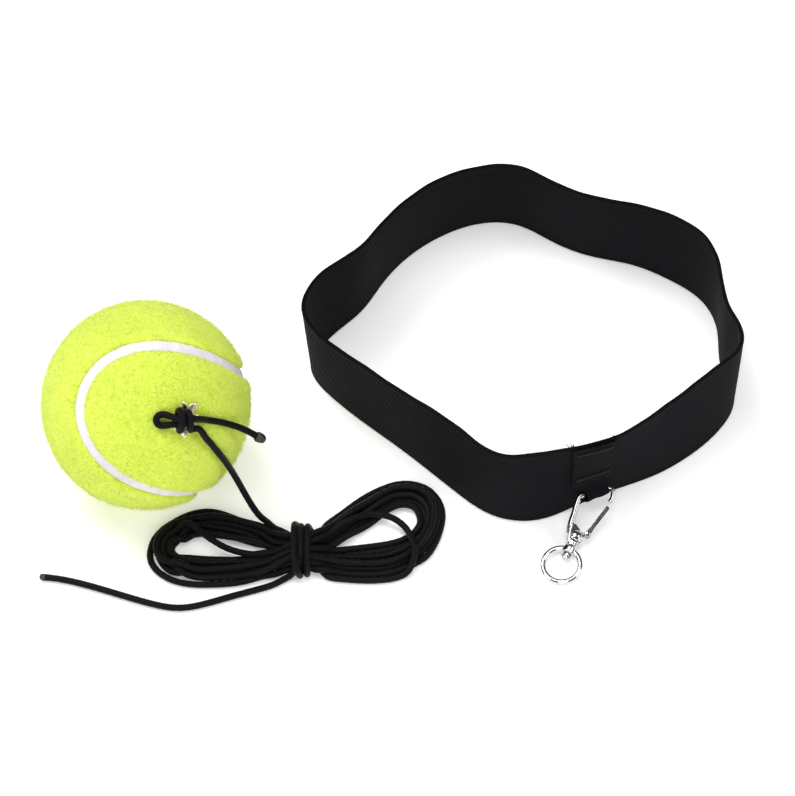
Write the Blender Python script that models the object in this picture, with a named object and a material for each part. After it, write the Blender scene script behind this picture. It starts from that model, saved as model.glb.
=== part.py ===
"""Reflex ball headband: a felt ball on an elastic cord, and an elastic headband with a swivel snap hook.

Blender 4.5, metres, +Z up. The headband stands on its lower edge, the ball, the hanked cord and the hook
lie beside it, and -Y is the front. The origin is under the middle of the ball and the headband together.
"""

import math

import bmesh
import bpy
import numpy as np
from mathutils import Euler, Matrix, Vector

MM = 0.001
GAP = 0.3 * MM  # clearance between neighbouring pieces

# Moves the hand-set places below so that the object is centred over the origin.
CENTRING = Vector((0.9, 0.0, 0.0))

# Headband strap: (x, y) of the outer face's lower edge, and how far the upper edge leans out, in mm.
STRAP_WIDTH = 35.5 * MM
STRAP_THICKNESS = 1.4 * MM
STRAP_STATIONS = [
    (-28, 11, 2.5), (-22.5, 24, 2.2), (-13, 34, 0.5), (-6, 45, -0.8), (3, 56, -1.5),
    (13.5, 64.2, -1.8), (26, 69.4, -2.5), (39.5, 69, -2.0), (51.5, 62.3, -1.7), (64, 56.5, -1.5),
    (77, 53, -1.2), (89.5, 47, 0.0), (100, 38.6, -0.5), (105, 26, -1.8), (105.6, 12.5, -0.2),
    (108.4, -0.8, 1.0), (102.7, -13, -2.5), (93, -22.5, -3.0), (81.5, -30, -1.2), (69, -35, 2.0),
    (56.8, -40.9, 0.5), (44, -46.5, -2.5), (30.6, -44.8, -0.8), (19.6, -37, -1.2), (9.5, -27.8, -0.5),
    (-0.6, -18.5, 1.0), (-11, -9.6, 1.3), (-21, -0.4, 2.3),
]
STRAP_STEPS = 112

# Webbing tab sewn on the strap's front; the snap hook's crossbar runs through its folded end.
TAB_WIDTH = 13.8 * MM
TAB_THICKNESS = 0.9 * MM
TAB_PINCHED_WIDTH = 7.8 * MM
TAB_POCKET = [  # mm above the crossbar, share of the full bulge, share of the full pinch
    (-3.6, 0.0, 0.85), (-2.8, 0.05, 1.0), (-1.6, 0.75, 1.0), (0.0, 1.0, 1.0),
    (1.6, 0.75, 1.0), (2.8, 0.05, 1.0), (4.4, 0.0, 0.4), (6.4, 0.0, 0.0),
]
TAB_TOP_SHARE = 0.985  # of the strap's width: where the tab's cut ends are
TAB_SHIFT = 1.1 * MM  # along the strap: how far the tab's full width lies off its pocket's middle
TAB_OFFSET = 0.3 * MM  # along the strap, from the crossbar's middle to the tab's

# Snap hook, in its own plane: X along the crossbar, Y away from the swivel, Z up off the table.
CROSSBAR_CENTRE = (62.6, -40.2, 8.4)
HOOK_HEADING = math.radians(21.5)
HOOK_TILT = math.radians(23.9)
WIRE_RADIUS = 0.85 * MM
HOOK_PLATE_THICKNESS = 2.2 * MM
HOOK_AXIS_DIRECTION = Vector((1.0, 1.0, 0.0)).normalized()
SWIVEL_CENTRE = (-14.96, -15.2)
GATE_PIVOT = (-7.9, -12.3)
GATE_TIP = (1.7, -6.17)
GATE_PIN_RADIUS = 0.5 * MM

# Swivel eye: a ring with a collar that turns on the hook's stem.
EYE_TILT = math.radians(6.5)
EYE_HEADING = math.radians(63.9)
EYE_RING_RADIUS = 5.85 * MM
EYE_WIRE_RADIUS = 0.78 * MM
EYE_COLLAR_REACH = 5.4 * MM
COLLAR_RADIUS = 2.0 * MM
COLLAR_BORE_RADIUS = 1.2 * MM
COLLAR_LENGTH = 2.2 * MM
STEM_RADIUS = 0.7 * MM

# Ball.
BALL_CENTRE = (-78.6, -23.7, 32.5)
BALL_RADIUS = 32.5 * MM
FELT_THICKNESS = 2.9 * MM
CORE_THICKNESS = 3.0 * MM
SEAM_TURN = Euler((math.radians(64.8), math.radians(-174.4), math.radians(87.2)))
SEAM_WAVE = 0.202  # share of the third harmonic in the seam curve
SEAM_WIDTH = 3.2 * MM
EYELET_DIRECTION = Vector((0.403, -0.600, 0.692)).normalized()
EYELET_BORE_RADIUS = 1.7 * MM
EYELET_BARREL_RADIUS = 2.3 * MM
EYELET_PETAL_RADIUS = 5.8 * MM
TOGGLE_LENGTH = 15.0 * MM
TOGGLE_RADIUS = 2.0 * MM

# Cord: hand-set route points in mm, each tube following one smooth curve through its points.
CORD_DIAMETER = 2.1 * MM
LEAD_ROUTE = [
    (-61.0, -45.0, 54.0), (-58.3, -45.9, 49.3), (-55.4, -46.4, 42.4), (-52.8, -46.0, 35.0),
    (-50.6, -45.6, 27.0), (-47.4, -46.6, 17.5), (-43.8, -48.2, 9.5), (-40.2, -50.2, 5.6),
]
TAIL_ROUTE = [
    (-61.0, -43.1, 56.1), (-57.2, -41.5, 52.4), (-52.6, -40.0, 48.2), (-46.8, -39.3, 43.0),
    (-43.2, -39.8, 40.3),
]
FREE_END_ROUTE = [
    (-33.2, -68.0, 1.1), (-38.5, -70.9, 1.1), (-45.5, -73.5, 1.1), (-54.0, -76.0, 1.1),
    (-62.8, -78.4, 1.1), (-69.0, -79.0, 1.1), (-76.0, -77.6, 1.1), (-86.5, -74.1, 1.1),
    (-96.0, -70.9, 1.1), (-105.4, -68.4, 1.1), (-111.4, -67.6, 1.1),
]
BIGHT_ROUTE = [
    (-67.6, -46.7, 57.4), (-70.4, -47.3, 58.2), (-73.4, -46.0, 59.4), (-73.0, -43.4, 60.8),
    (-70.0, -42.6, 60.2), (-67.6, -43.1, 59.6),
]
KNOT_HEIGHT = 3.2 * MM  # knot centre over the ball's surface
HANK_OUTLINE = [
    (-78, -59.5), (-75.0, -52.0), (-67.5, -46.3), (-60, -44.3), (-52.5, -45.8), (-44, -50.2),
    (-36, -52.6), (-27, -51.0), (-16.5, -44.6), (-5.5, -37.4), (4.0, -34.5), (11.0, -37.4),
    (13.9, -46.2), (12.2, -54.8), (7.7, -60.9), (0.5, -66.0), (-9, -68.6), (-19, -68.0),
    (-27, -65.5), (-36, -65.6), (-45, -67.4), (-56, -70.0), (-66.5, -69.8), (-74.5, -66.0),
]
HANK_HEIGHT = 4.6 * MM
TIE_CENTRE = (-30.3, -59.1)
TIE_HEADING = math.radians(4.0)
TIE_LENGTH = 6.6 * MM
TIE_INSIDE_WIDTH = 13.2 * MM
TIE_INSIDE_HEIGHT = 6.0 * MM

BLACK_TEXTILE = (0.012, 0.011, 0.014, 1.0)
NICKEL = (0.78, 0.78, 0.80, 1.0)


def at(x, y, z=0.0):
    """A place in metres from hand-set millimetres."""
    return (Vector((x, y, z)) + CENTRING) * MM


def material(name, colour, roughness, metallic=0.0):
    found = bpy.data.materials.get(name)
    if found:
        return found
    made = bpy.data.materials.new(name)
    made.use_nodes = True
    shader = made.node_tree.nodes["Principled BSDF"]
    shader.inputs["Base Color"].default_value = colour
    shader.inputs["Roughness"].default_value = roughness
    shader.inputs["Metallic"].default_value = metallic
    return made


def add_object(name, data, finish, parent=None, matrix=None):
    made = bpy.data.objects.new(name, data)
    bpy.context.scene.collection.objects.link(made)
    data.materials.append(finish)
    if parent:
        made.parent = parent
    if matrix:
        made.matrix_local = matrix
    return made


def add_mesh(name, points, faces, finish, parent=None, matrix=None):
    """A closed mesh object with its faces turned outward and its round sides shaded smooth."""
    mesh = bpy.data.meshes.new(name)
    mesh.from_pydata([tuple(point) for point in points], [], faces)
    shape = bmesh.new()
    shape.from_mesh(mesh)
    bmesh.ops.recalc_face_normals(shape, faces=shape.faces)
    shape.to_mesh(mesh)
    shape.free()
    mesh.shade_smooth()
    mesh.set_sharp_from_angle(angle=math.radians(35))
    return add_object(name, mesh, finish, parent, matrix)


def add_empty(name, matrix):
    empty = bpy.data.objects.new(name, None)
    empty.empty_display_size = 5 * MM
    empty.matrix_world = matrix
    bpy.context.scene.collection.objects.link(empty)
    return empty


def combine(target, other, operation):
    """A Boolean on target; the other object becomes a hidden helper."""
    other.hide_render = True
    other.display_type = "WIRE"
    modifier = target.modifiers.new(f"{operation.lower()}_{other.name}", "BOOLEAN")
    modifier.operation = operation
    modifier.object = other
    modifier.solver = "EXACT"


def second_slopes(points, knots, closed):
    """The slope at each point of the cubic spline through the points."""
    count = len(points)
    system = np.zeros((count, count))
    target = np.zeros_like(points)
    for i in range(count):
        before, after = (i - 1) % count, (i + 1) % count
        if not closed and i in (0, count - 1):
            near = 1 if i == 0 else count - 2
            step = abs(knots[near] - knots[i])
            system[i, i], system[i, near] = 2.0, 1.0
            target[i] = 3.0 * (points[near] - points[i]) / step * (1 if i == 0 else -1)
            continue
        step_in = knots[i] - knots[i - 1] if i else knots[-1] - knots[-2]
        step_out = knots[i + 1] - knots[i]
        system[i, before], system[i, after] = 1 / step_in, 1 / step_out
        system[i, i] = 2 / step_in + 2 / step_out
        rise_in = (points[i] - points[before]) / step_in**2
        rise_out = (points[after] - points[i]) / step_out**2
        target[i] = 3 * (rise_in + rise_out)
    return np.linalg.solve(system, target)


def smooth_curve(points, count, closed=False):
    """count points, evenly spaced along the smooth curve through the given points."""
    points = np.array(points, float)
    loop = np.vstack([points, points[:1]]) if closed else points
    knots = np.concatenate([[0], np.cumsum(np.linalg.norm(np.diff(loop, axis=0), axis=1))])
    slopes = second_slopes(points, knots, closed)
    if closed:
        slopes = np.vstack([slopes, slopes[:1]])
    places = np.linspace(0, knots[-1], 40 * count)
    span = np.clip(np.searchsorted(knots, places, side="right") - 1, 0, len(loop) - 2)
    width = (knots[span + 1] - knots[span])[:, None]
    share = (places - knots[span])[:, None] / width
    fine = (
        (2 * share**3 - 3 * share**2 + 1) * loop[span]
        + (share**3 - 2 * share**2 + share) * width * slopes[span]
        + (3 * share**2 - 2 * share**3) * loop[span + 1]
        + (share**3 - share**2) * width * slopes[span + 1]
    )
    along = np.concatenate([[0], np.cumsum(np.linalg.norm(np.diff(fine, axis=0), axis=1))])
    wanted = np.linspace(0, along[-1], count + 1)[:-1] if closed else np.linspace(0, along[-1], count)
    return np.stack([np.interp(wanted, along, fine[:, k]) for k in range(fine.shape[1])], axis=1)


def grid_faces(rows, columns, wrap_rows=False, wrap_columns=False):
    """Quads between neighbouring points of a rows x columns grid numbered row by row."""
    faces = []
    for i in range(rows if wrap_rows else rows - 1):
        for j in range(columns if wrap_columns else columns - 1):
            i2, j2 = (i + 1) % rows, (j + 1) % columns
            faces.append((i * columns + j, i * columns + j2, i2 * columns + j2, i2 * columns + j))
    return faces


def turned(name, profile, finish, steps=24, parent=None, matrix=None):
    """A body of revolution about local Z; the closed profile of (radius, height) may touch the axis."""
    points, faces, rings = [], [], []
    for radius, height in profile:
        if radius < 1e-9:
            rings.append([len(points)])
            points.append((0.0, 0.0, height))
            continue
        ring = range(len(points), len(points) + steps)
        rings.append(list(ring))
        for k in range(steps):
            angle = 2 * math.pi * k / steps
            points.append((radius * math.cos(angle), radius * math.sin(angle), height))
    for ring, following in zip(rings, rings[1:] + rings[:1]):
        if len(ring) == 1 and len(following) == 1:
            continue
        for k in range(steps):
            corners = [ring[k % len(ring)], ring[(k + 1) % len(ring)]]
            corners += [following[(k + 1) % len(following)], following[k % len(following)]]
            faces.append(list(dict.fromkeys(corners)))
    return add_mesh(name, points, faces, finish, parent, matrix)


def tube(name, route, radius, finish, count, parent=None):
    """A round cord or wire on one smooth curve through the route."""
    curve = bpy.data.curves.new(name, "CURVE")
    curve.dimensions = "3D"
    curve.bevel_depth = radius
    curve.bevel_resolution = 2
    curve.use_fill_caps = True
    spline = curve.splines.new("POLY")
    places = smooth_curve(route, count)
    spline.points.add(count - 1)
    for point, place in zip(spline.points, places):
        point.co = (*place, 1.0)
    return add_object(name, curve, finish, parent)


def prism(name, outline, low, high, finish, parent=None, matrix=None, bevel=0.0):
    """An outline of (x, y) extruded from low to high, its rims rounded by bevel."""
    count = len(outline)
    points = [(x, y, low) for x, y in outline] + [(x, y, high) for x, y in outline]
    faces = [tuple(reversed(range(count))), tuple(range(count, 2 * count))]
    faces += [(k, (k + 1) % count, (k + 1) % count + count, k + count) for k in range(count)]
    made = add_mesh(name, points, faces, finish, parent, matrix)
    if bevel:
        rounding = made.modifiers.new("rounding", "BEVEL")
        rounding.width = bevel
        rounding.segments = 2
        rounding.limit_method = "ANGLE"
        rounding.angle_limit = math.radians(50)
    return made


def facing(direction, place):
    """A matrix with local Z along direction, at a place in metres."""
    return Matrix.Translation(place) @ direction.to_track_quat("Z", "Y").to_matrix().to_4x4()


# ---------------------------------------------------------------- headband


class Strap:
    """The strap's ruled outer face: upright lines between its lower and upper edges."""

    def __init__(self):
        stations = [(x + CENTRING.x, y + CENTRING.y, lean) for x, y, lean in STRAP_STATIONS]
        curve = smooth_curve(stations, STRAP_STEPS, closed=True) * MM
        self.low = np.column_stack([curve[:, :2], np.zeros(STRAP_STEPS)])
        along = np.roll(self.low, -1, axis=0) - np.roll(self.low, 1, axis=0)
        along /= np.linalg.norm(along, axis=1)[:, None]
        self.outward = np.column_stack([-along[:, 1], along[:, 0], np.zeros(STRAP_STEPS)])
        middle = self.low.mean(axis=0)
        if np.sum((self.low - middle) * self.outward) < 0:
            self.outward = -self.outward
        lean = curve[:, 2:3]
        rise = np.sqrt(STRAP_WIDTH**2 - lean**2)
        self.high = self.low + lean * self.outward + rise * np.array([[0.0, 0.0, 1.0]])
        steps = np.linalg.norm(np.roll(self.low, -1, axis=0) - self.low, axis=1)
        self.along = np.concatenate([[0], np.cumsum(steps)])

    def place(self, along, share, off):
        """The point at a distance along the strap, a share of its width up, and off its outer face."""
        total = self.along[-1]
        where = along % total
        k = int(np.searchsorted(self.along, where, side="right")) - 1
        part = (where - self.along[k]) / (self.along[k + 1] - self.along[k])
        after = (k + 1) % STRAP_STEPS
        low = self.low[k] * (1 - part) + self.low[after] * part
        high = self.high[k] * (1 - part) + self.high[after] * part
        outward = self.outward[k] * (1 - part) + self.outward[after] * part
        return low * (1 - share) + high * share + outward / np.linalg.norm(outward) * off

    def nearest(self, place):
        """The distance along the strap at which its lower edge passes nearest to a place."""
        tries = np.linspace(0, self.along[-1], 2000)
        return min(tries, key=lambda s: np.linalg.norm((self.place(s, 0.0, 0.0) - place)[:2]))


def make_strap(strap):
    """The elastic band: one closed loop of webbing, standing on its lower edge."""
    inward = -strap.outward * STRAP_THICKNESS
    rows = np.stack([strap.low, strap.high, strap.high + inward, strap.low + inward], axis=1)
    finish = material("elastic_webbing", BLACK_TEXTILE, 0.85)
    faces = grid_faces(STRAP_STEPS, 4, wrap_rows=True, wrap_columns=True)
    return add_mesh("strap", rows.reshape(-1, 3), faces, finish)


def tab_section(bar_height):
    """The folded tab's section: (share of the strap's width up, off its outer face, width, shift).

    The tab is sewn flat on the strap from its cut ends at the top down to the pocket for the crossbar.
    """
    near = GAP + 0.08 * MM
    room = near + TAB_THICKNESS
    crest = 2 * GAP + 2 * WIRE_RADIUS + 0.8 * MM
    outer, inner = [], []
    for height, lift, pinch in TAB_POCKET:
        share = (bar_height + height * MM) / STRAP_WIDTH
        width = TAB_WIDTH + (TAB_PINCHED_WIDTH - TAB_WIDTH) * pinch
        shift = TAB_SHIFT * (1 - pinch)
        outer.append((share, room + crest * lift, width, shift))
        inner.append((share, near + crest * lift, width, shift))
    outer.append((TAB_TOP_SHARE, room, TAB_WIDTH, TAB_SHIFT))
    inner.append((TAB_TOP_SHARE, near, TAB_WIDTH, TAB_SHIFT))
    return outer, inner


def make_tab(strap):
    """The webbing tab on the strap's front, with a pocket at its folded end for the hook's crossbar."""
    centre = at(*CROSSBAR_CENTRE)
    middle = strap.nearest(np.array(centre)) + TAB_OFFSET
    outer, inner = tab_section(centre.z)
    section = outer + inner[::-1]
    rows = 9
    points = []
    for k in range(rows):
        step = k / (rows - 1) - 0.5
        for share, off, width, shift in section:
            points.append(strap.place(middle + shift - step * width, share, off))
    count = len(section)
    faces = grid_faces(rows, count, wrap_columns=True)
    for first in (0, (rows - 1) * count):
        for k in range(len(outer) - 1):
            faces.append((first + k, first + k + 1, first + count - 2 - k, first + count - 1 - k))
    make_tacks(strap, middle + TAB_SHIFT)
    return add_mesh("hook_tab", points, faces, material("tab_webbing", BLACK_TEXTILE, 0.8))


def make_tacks(strap, middle):
    """Two zigzag bar tacks that sew the tab to the strap."""
    thread = material("sewing_thread", (0.02, 0.02, 0.024, 1.0), 0.6)
    off = 2 * (GAP + 0.08 * MM) + TAB_THICKNESS
    for name, share in (("tab_tack_top", 0.93), ("tab_tack_middle", 0.52)):
        low, high = [], []
        for k in range(15):
            step = (k / 14 - 0.5) * 0.82 * TAB_WIDTH
            swing = 0.018 if k % 2 else -0.018
            low.append((middle - step, share + swing - 0.009))
            high.append((middle - step, share + swing + 0.009))
        points = []
        for lift in (off, off + 0.35 * MM):
            for edge in (low, high):
                points += [strap.place(s, h, lift) for s, h in edge]
        count = len(low)
        faces = []
        for a, b in ((0, 1), (3, 2), (2, 0), (1, 3)):
            for k in range(count - 1):
                faces.append((a * count + k, a * count + k + 1, b * count + k + 1, b * count + k))
        for k in (0, count - 1):
            faces.append((k, count + k, 3 * count + k, 2 * count + k))
        add_mesh(name, points, faces, thread)


# ---------------------------------------------------------------- snap hook


def hook_point(x, y, z=0.0):
    return Vector((x, y, z)) * MM


def hook_round(centre, radius, start, end, count):
    """Points on an arc in the hook's plane, in mm and degrees."""
    angles = [math.radians(start + (end - start) * k / (count - 1)) for k in range(count)]
    return [(centre[0] + radius * math.cos(a), centre[1] + radius * math.sin(a)) for a in angles]


def along_axis(along, side):
    """The hook-plane point at a distance along the swivel axis, and to the gate's side, in mm."""
    half = math.sqrt(0.5)
    x = SWIVEL_CENTRE[0] + (along + side) * half
    y = SWIVEL_CENTRE[1] + (along - side) * half
    return (x, y)


def make_hook(hook):
    """The cast body with its arm, crossbar and nose, the gate on its pin, and the swivel stem."""
    nickel = material("nickel_plate", NICKEL, 0.12, 1.0)
    half = HOOK_PLATE_THICKNESS / 2
    outline = [along_axis(2.2, -1.75), along_axis(2.2, 1.75), along_axis(4.2, 2.35)]
    outline += [along_axis(5.2, 2.6), along_axis(6.6, 1.3), along_axis(7.5, 0.4)]
    outline += [along_axis(8.6, -1.6), along_axis(8.0, -3.1), along_axis(4.5, -2.55)]
    plate = [tuple(v * MM for v in place) for place in outline]
    frame = prism("hook_frame", plate, -half, half, nickel, hook, bevel=0.35 * MM)

    wire_route = [along_axis(5.0, -2.2), (-11.3, -7.2), (-9.1, -4.4), (-7.1, -1.6)]
    wire_route += hook_round((-5.0, -1.6), 1.6, 150, 90, 4)
    wire_route += [(-2.5, 0.0), (0.0, 0.0), (2.2, 0.0)]
    wire_route += hook_round((3.1, -1.9), 1.9, 80, -25, 6) + [(4.1, -3.9), (2.65, -5.0)]
    wire = sweep_wire("hook_wire", wire_route, hook, nickel)
    combine(frame, wire, "UNION")

    ear = [tuple(v * MM for v in p) for p in hook_round(GATE_PIVOT, 1.25, 0, 345, 24)]
    lug = prism("gate_lug", ear, -0.6 * MM, 0.05 * MM, nickel, hook)
    combine(frame, lug, "UNION")
    neck = [along_axis(5.6, 1.4), along_axis(6.1, 3.4), along_axis(7.4, 2.9), along_axis(7.0, 0.8)]
    neck_outline = [tuple(v * MM for v in place) for place in neck]
    combine(frame, prism("lug_neck", neck_outline, -0.6 * MM, 0.05 * MM, nickel, hook), "UNION")

    boss_axis = facing(HOOK_AXIS_DIRECTION, hook_point(*along_axis(1.75, 0.0)))
    boss_profile = [(0, 0), (1.75 * MM, 0), (1.75 * MM, 2.2 * MM), (0.9 * MM, 3.6 * MM), (0, 3.6 * MM)]
    boss = turned("stem_boss", boss_profile, nickel, 20, hook, boss_axis)
    combine(frame, boss, "UNION")
    socket_radius = STEM_RADIUS + GAP
    socket = [(0, -1 * MM), (socket_radius, -1 * MM), (socket_radius, 1.2 * MM), (0, 1.2 * MM)]
    combine(frame, turned("stem_socket", socket, nickel, 16, hook, boss_axis), "DIFFERENCE")
    pin_hole_radius = GATE_PIN_RADIUS + GAP
    pivot = Matrix.Translation(hook_point(*GATE_PIVOT))
    hole = [(0, -2 * MM), (pin_hole_radius, -2 * MM), (pin_hole_radius, 2 * MM), (0, 2 * MM)]
    combine(frame, turned("pin_hole", hole, nickel, 16, hook, pivot), "DIFFERENCE")
    dimple_place = Matrix.Translation(hook_point(*along_axis(4.9, 0.0), half / MM))
    dimple = [(0, -0.6 * MM), (1.8 * MM, -0.6 * MM), (1.8 * MM, 1 * MM), (0, 1 * MM)]
    combine(frame, turned("rivet_seat", dimple, nickel, 20, hook, dimple_place), "DIFFERENCE")

    rivet = [(0, -0.3 * MM), (1.45 * MM, -0.3 * MM), (1.45 * MM, 0.0), (1.0 * MM, 0.35 * MM), (0, 0.5 * MM)]
    turned("body_rivet", rivet, nickel, 20, hook, dimple_place)

    stem = [(0, 0.9 * MM), (STEM_RADIUS, 0.9 * MM), (STEM_RADIUS, -3.5 * MM), (1.55 * MM, -3.5 * MM)]
    stem += [(1.5 * MM, -4.1 * MM), (1.2 * MM, -4.7 * MM), (0.7 * MM, -5.1 * MM), (0, -5.2 * MM)]
    turned("swivel_stem", stem[::-1], material("stem_steel", NICKEL, 0.2, 1.0), 20, hook, boss_axis)


def sweep_wire(name, route, parent, finish):
    """The hook's round wire as a mesh, so that a Boolean can join it to the body."""
    count = 44
    places = smooth_curve([(x * MM, y * MM, 0.0) for x, y in route], count)
    ahead = np.gradient(places, axis=0)
    ahead /= np.linalg.norm(ahead, axis=1)[:, None]
    up = np.array([0.0, 0.0, 1.0])
    sides = np.cross(up, ahead)
    points = []
    steps = 10
    for k in range(count):
        from_arm = k / (count - 1)
        width = WIRE_RADIUS * (1.12 - 0.24 * from_arm)
        for j in range(steps):
            angle = 2 * math.pi * j / steps
            points.append(places[k] + width * (math.cos(angle) * sides[k] + math.sin(angle) * up))
    faces = grid_faces(count, steps, wrap_columns=True)
    faces += [tuple(range(steps)), tuple((count - 1) * steps + j for j in range(steps))]
    return add_mesh(name, points, faces, finish, parent)


def make_gate(hook):
    """The spring gate: a channel lever on a pin, closing against the inside of the nose."""
    nickel = material("gate_nickel", NICKEL, 0.15, 1.0)
    reach = Vector(GATE_TIP) - Vector(GATE_PIVOT)
    turn = math.atan2(reach.y, reach.x)
    pivot = Matrix.Translation(hook_point(*GATE_PIVOT))
    gate_axis = add_empty("gate_axis", Matrix.Identity(4))
    gate_axis.parent = hook
    gate_axis.matrix_local = pivot @ Matrix.Rotation(turn, 4, "Z")
    length = reach.length * MM
    lug_half, ear = 0.6 * MM + GAP, 0.55 * MM
    low, high = -0.75 * MM, 0.75 * MM
    outline = [(1.9 * MM, low), (length - 0.3 * MM, low), (length, low + 0.3 * MM)]
    outline += [(length, high - 0.3 * MM), (length - 0.3 * MM, high), (1.9 * MM, high)]
    lever = prism("gate", outline, -0.75 * MM, 0.75 * MM, nickel, gate_axis)
    rim = [(1.2 * MM * math.cos(a), 1.2 * MM * math.sin(a)) for a in np.linspace(0.9, 5.38, 12)]
    cheek = rim + [(3.4 * MM, -0.7 * MM), (3.4 * MM, 0.7 * MM)]
    for side, name in ((1, "gate_cheek_upper"), (-1, "gate_cheek_lower")):
        ends = sorted((side * lug_half, side * (lug_half + ear)))
        combine(lever, prism(name, cheek, *ends, nickel, gate_axis), "UNION")
    web_outline = [(1.75 * MM, -0.7 * MM), (3.4 * MM, -0.7 * MM), (3.4 * MM, 0.7 * MM), (1.75 * MM, 0.7 * MM)]
    web_half = lug_half + ear - 0.05 * MM
    combine(lever, prism("gate_web", web_outline, -web_half, web_half, nickel, gate_axis), "UNION")
    hole_radius = GATE_PIN_RADIUS + GAP
    hole = [(0, -3 * MM), (hole_radius, -3 * MM), (hole_radius, 3 * MM), (0, 3 * MM)]
    combine(lever, turned("gate_eye_hole", hole, nickel, 16, gate_axis), "DIFFERENCE")

    head = lug_half + ear + GAP
    pin = [(0, -head - 0.4 * MM), (0.95 * MM, -head - 0.4 * MM), (0.95 * MM, -head)]
    pin += [(GATE_PIN_RADIUS, -head), (GATE_PIN_RADIUS, head), (0.95 * MM, head)]
    pin += [(0.8 * MM, head + 0.35 * MM), (0, head + 0.45 * MM)]
    turned("gate_pin", pin, material("stem_steel", NICKEL, 0.2, 1.0), 16, hook, pivot)

    steel = material("spring_steel", (0.5, 0.5, 0.52, 1.0), 0.3, 1.0)
    inner, outer = GATE_PIN_RADIUS + GAP, GATE_PIN_RADIUS + 2 * GAP
    coil = [(inner, 0.35 * MM), (outer, 0.35 * MM), (outer, 0.6 * MM), (inner, 0.6 * MM)]
    turned("gate_spring", coil, steel, 20, hook, pivot)


def make_eye(hook):
    """The swivel eye: a round ring joined to a collar that turns on the stem."""
    centre = hook.matrix_world @ hook_point(*SWIVEL_CENTRE)
    ahead = Vector((math.cos(EYE_HEADING), math.sin(EYE_HEADING), 0)) * math.cos(EYE_TILT)
    ahead.z = math.sin(EYE_TILT)
    side = Vector((math.sin(EYE_HEADING), -math.cos(EYE_HEADING), 0))
    frame = Matrix.Identity(4)
    for column, axis in enumerate((side, side.cross(ahead), ahead)):
        for row in range(3):
            frame[row][column] = axis[row]
    frame.translation = centre
    eye = add_empty("eye_axis", frame)
    nickel = material("eye_nickel", NICKEL, 0.1, 1.0)
    steps, sides = 40, 10
    points = []
    for k in range(steps):
        angle = 2 * math.pi * k / steps
        for j in range(sides):
            turn = 2 * math.pi * j / sides
            reach = EYE_RING_RADIUS + EYE_WIRE_RADIUS * math.cos(turn)
            height = -EYE_COLLAR_REACH + reach * math.cos(angle)
            points.append((reach * math.sin(angle), EYE_WIRE_RADIUS * math.sin(turn), height))
    ring = add_mesh("swivel_eye", points, grid_faces(steps, sides, True, True), nickel, eye)
    half = COLLAR_LENGTH / 2
    collar = [(0, -half), (COLLAR_RADIUS - 0.2 * MM, -half), (COLLAR_RADIUS, -half + 0.2 * MM)]
    collar += [(COLLAR_RADIUS, half - 0.2 * MM), (COLLAR_RADIUS - 0.2 * MM, half), (0, half)]
    combine(ring, turned("eye_collar", collar, nickel, 20, eye), "UNION")
    bore = [(0, -3 * MM), (COLLAR_BORE_RADIUS, -3 * MM), (COLLAR_BORE_RADIUS, 3 * MM), (0, 3 * MM)]
    combine(ring, turned("eye_bore", bore, nickel, 16, eye), "DIFFERENCE")


# ---------------------------------------------------------------- ball


def seam_curve(angle):
    """A unit vector on the ball's seam in the ball's own frame."""
    main, wave = 1 - SEAM_WAVE, SEAM_WAVE
    x = main * math.cos(angle) + wave * math.cos(3 * angle)
    y = main * math.sin(angle) - wave * math.sin(3 * angle)
    return Vector((x, y, 2 * math.sqrt(main * wave) * math.sin(2 * angle)))


def beside_seam(angle, offset):
    """The seam point moved sideways on the unit sphere, towards the panel round +Z when positive."""
    step = 0.001
    place = seam_curve(angle)
    ahead = seam_curve(angle + step) - seam_curve(angle - step)
    return (place + place.cross(ahead).normalized() * offset).normalized()


def panel_layer(radius, offset, flip, ribs=30, across=9):
    """Points of a dumbbell panel's surface: ribs of great-circle arcs between facing seam points."""
    rows = []
    for i in range(1, ribs):
        angle = -math.pi / 4 + math.pi * i / ribs
        first = beside_seam(angle, offset)
        second = beside_seam(-math.pi / 2 - angle, offset)
        rows.append([first.slerp(second, j / (across - 1)) * radius for j in range(across)])
    tips = [beside_seam(-math.pi / 4, offset) * radius, beside_seam(3 * math.pi / 4, offset) * radius]
    turn = Matrix.Rotation(math.pi if flip else 0.0, 3, "X")
    return [turn @ p for row in rows for p in row], [turn @ p for p in tips]


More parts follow.
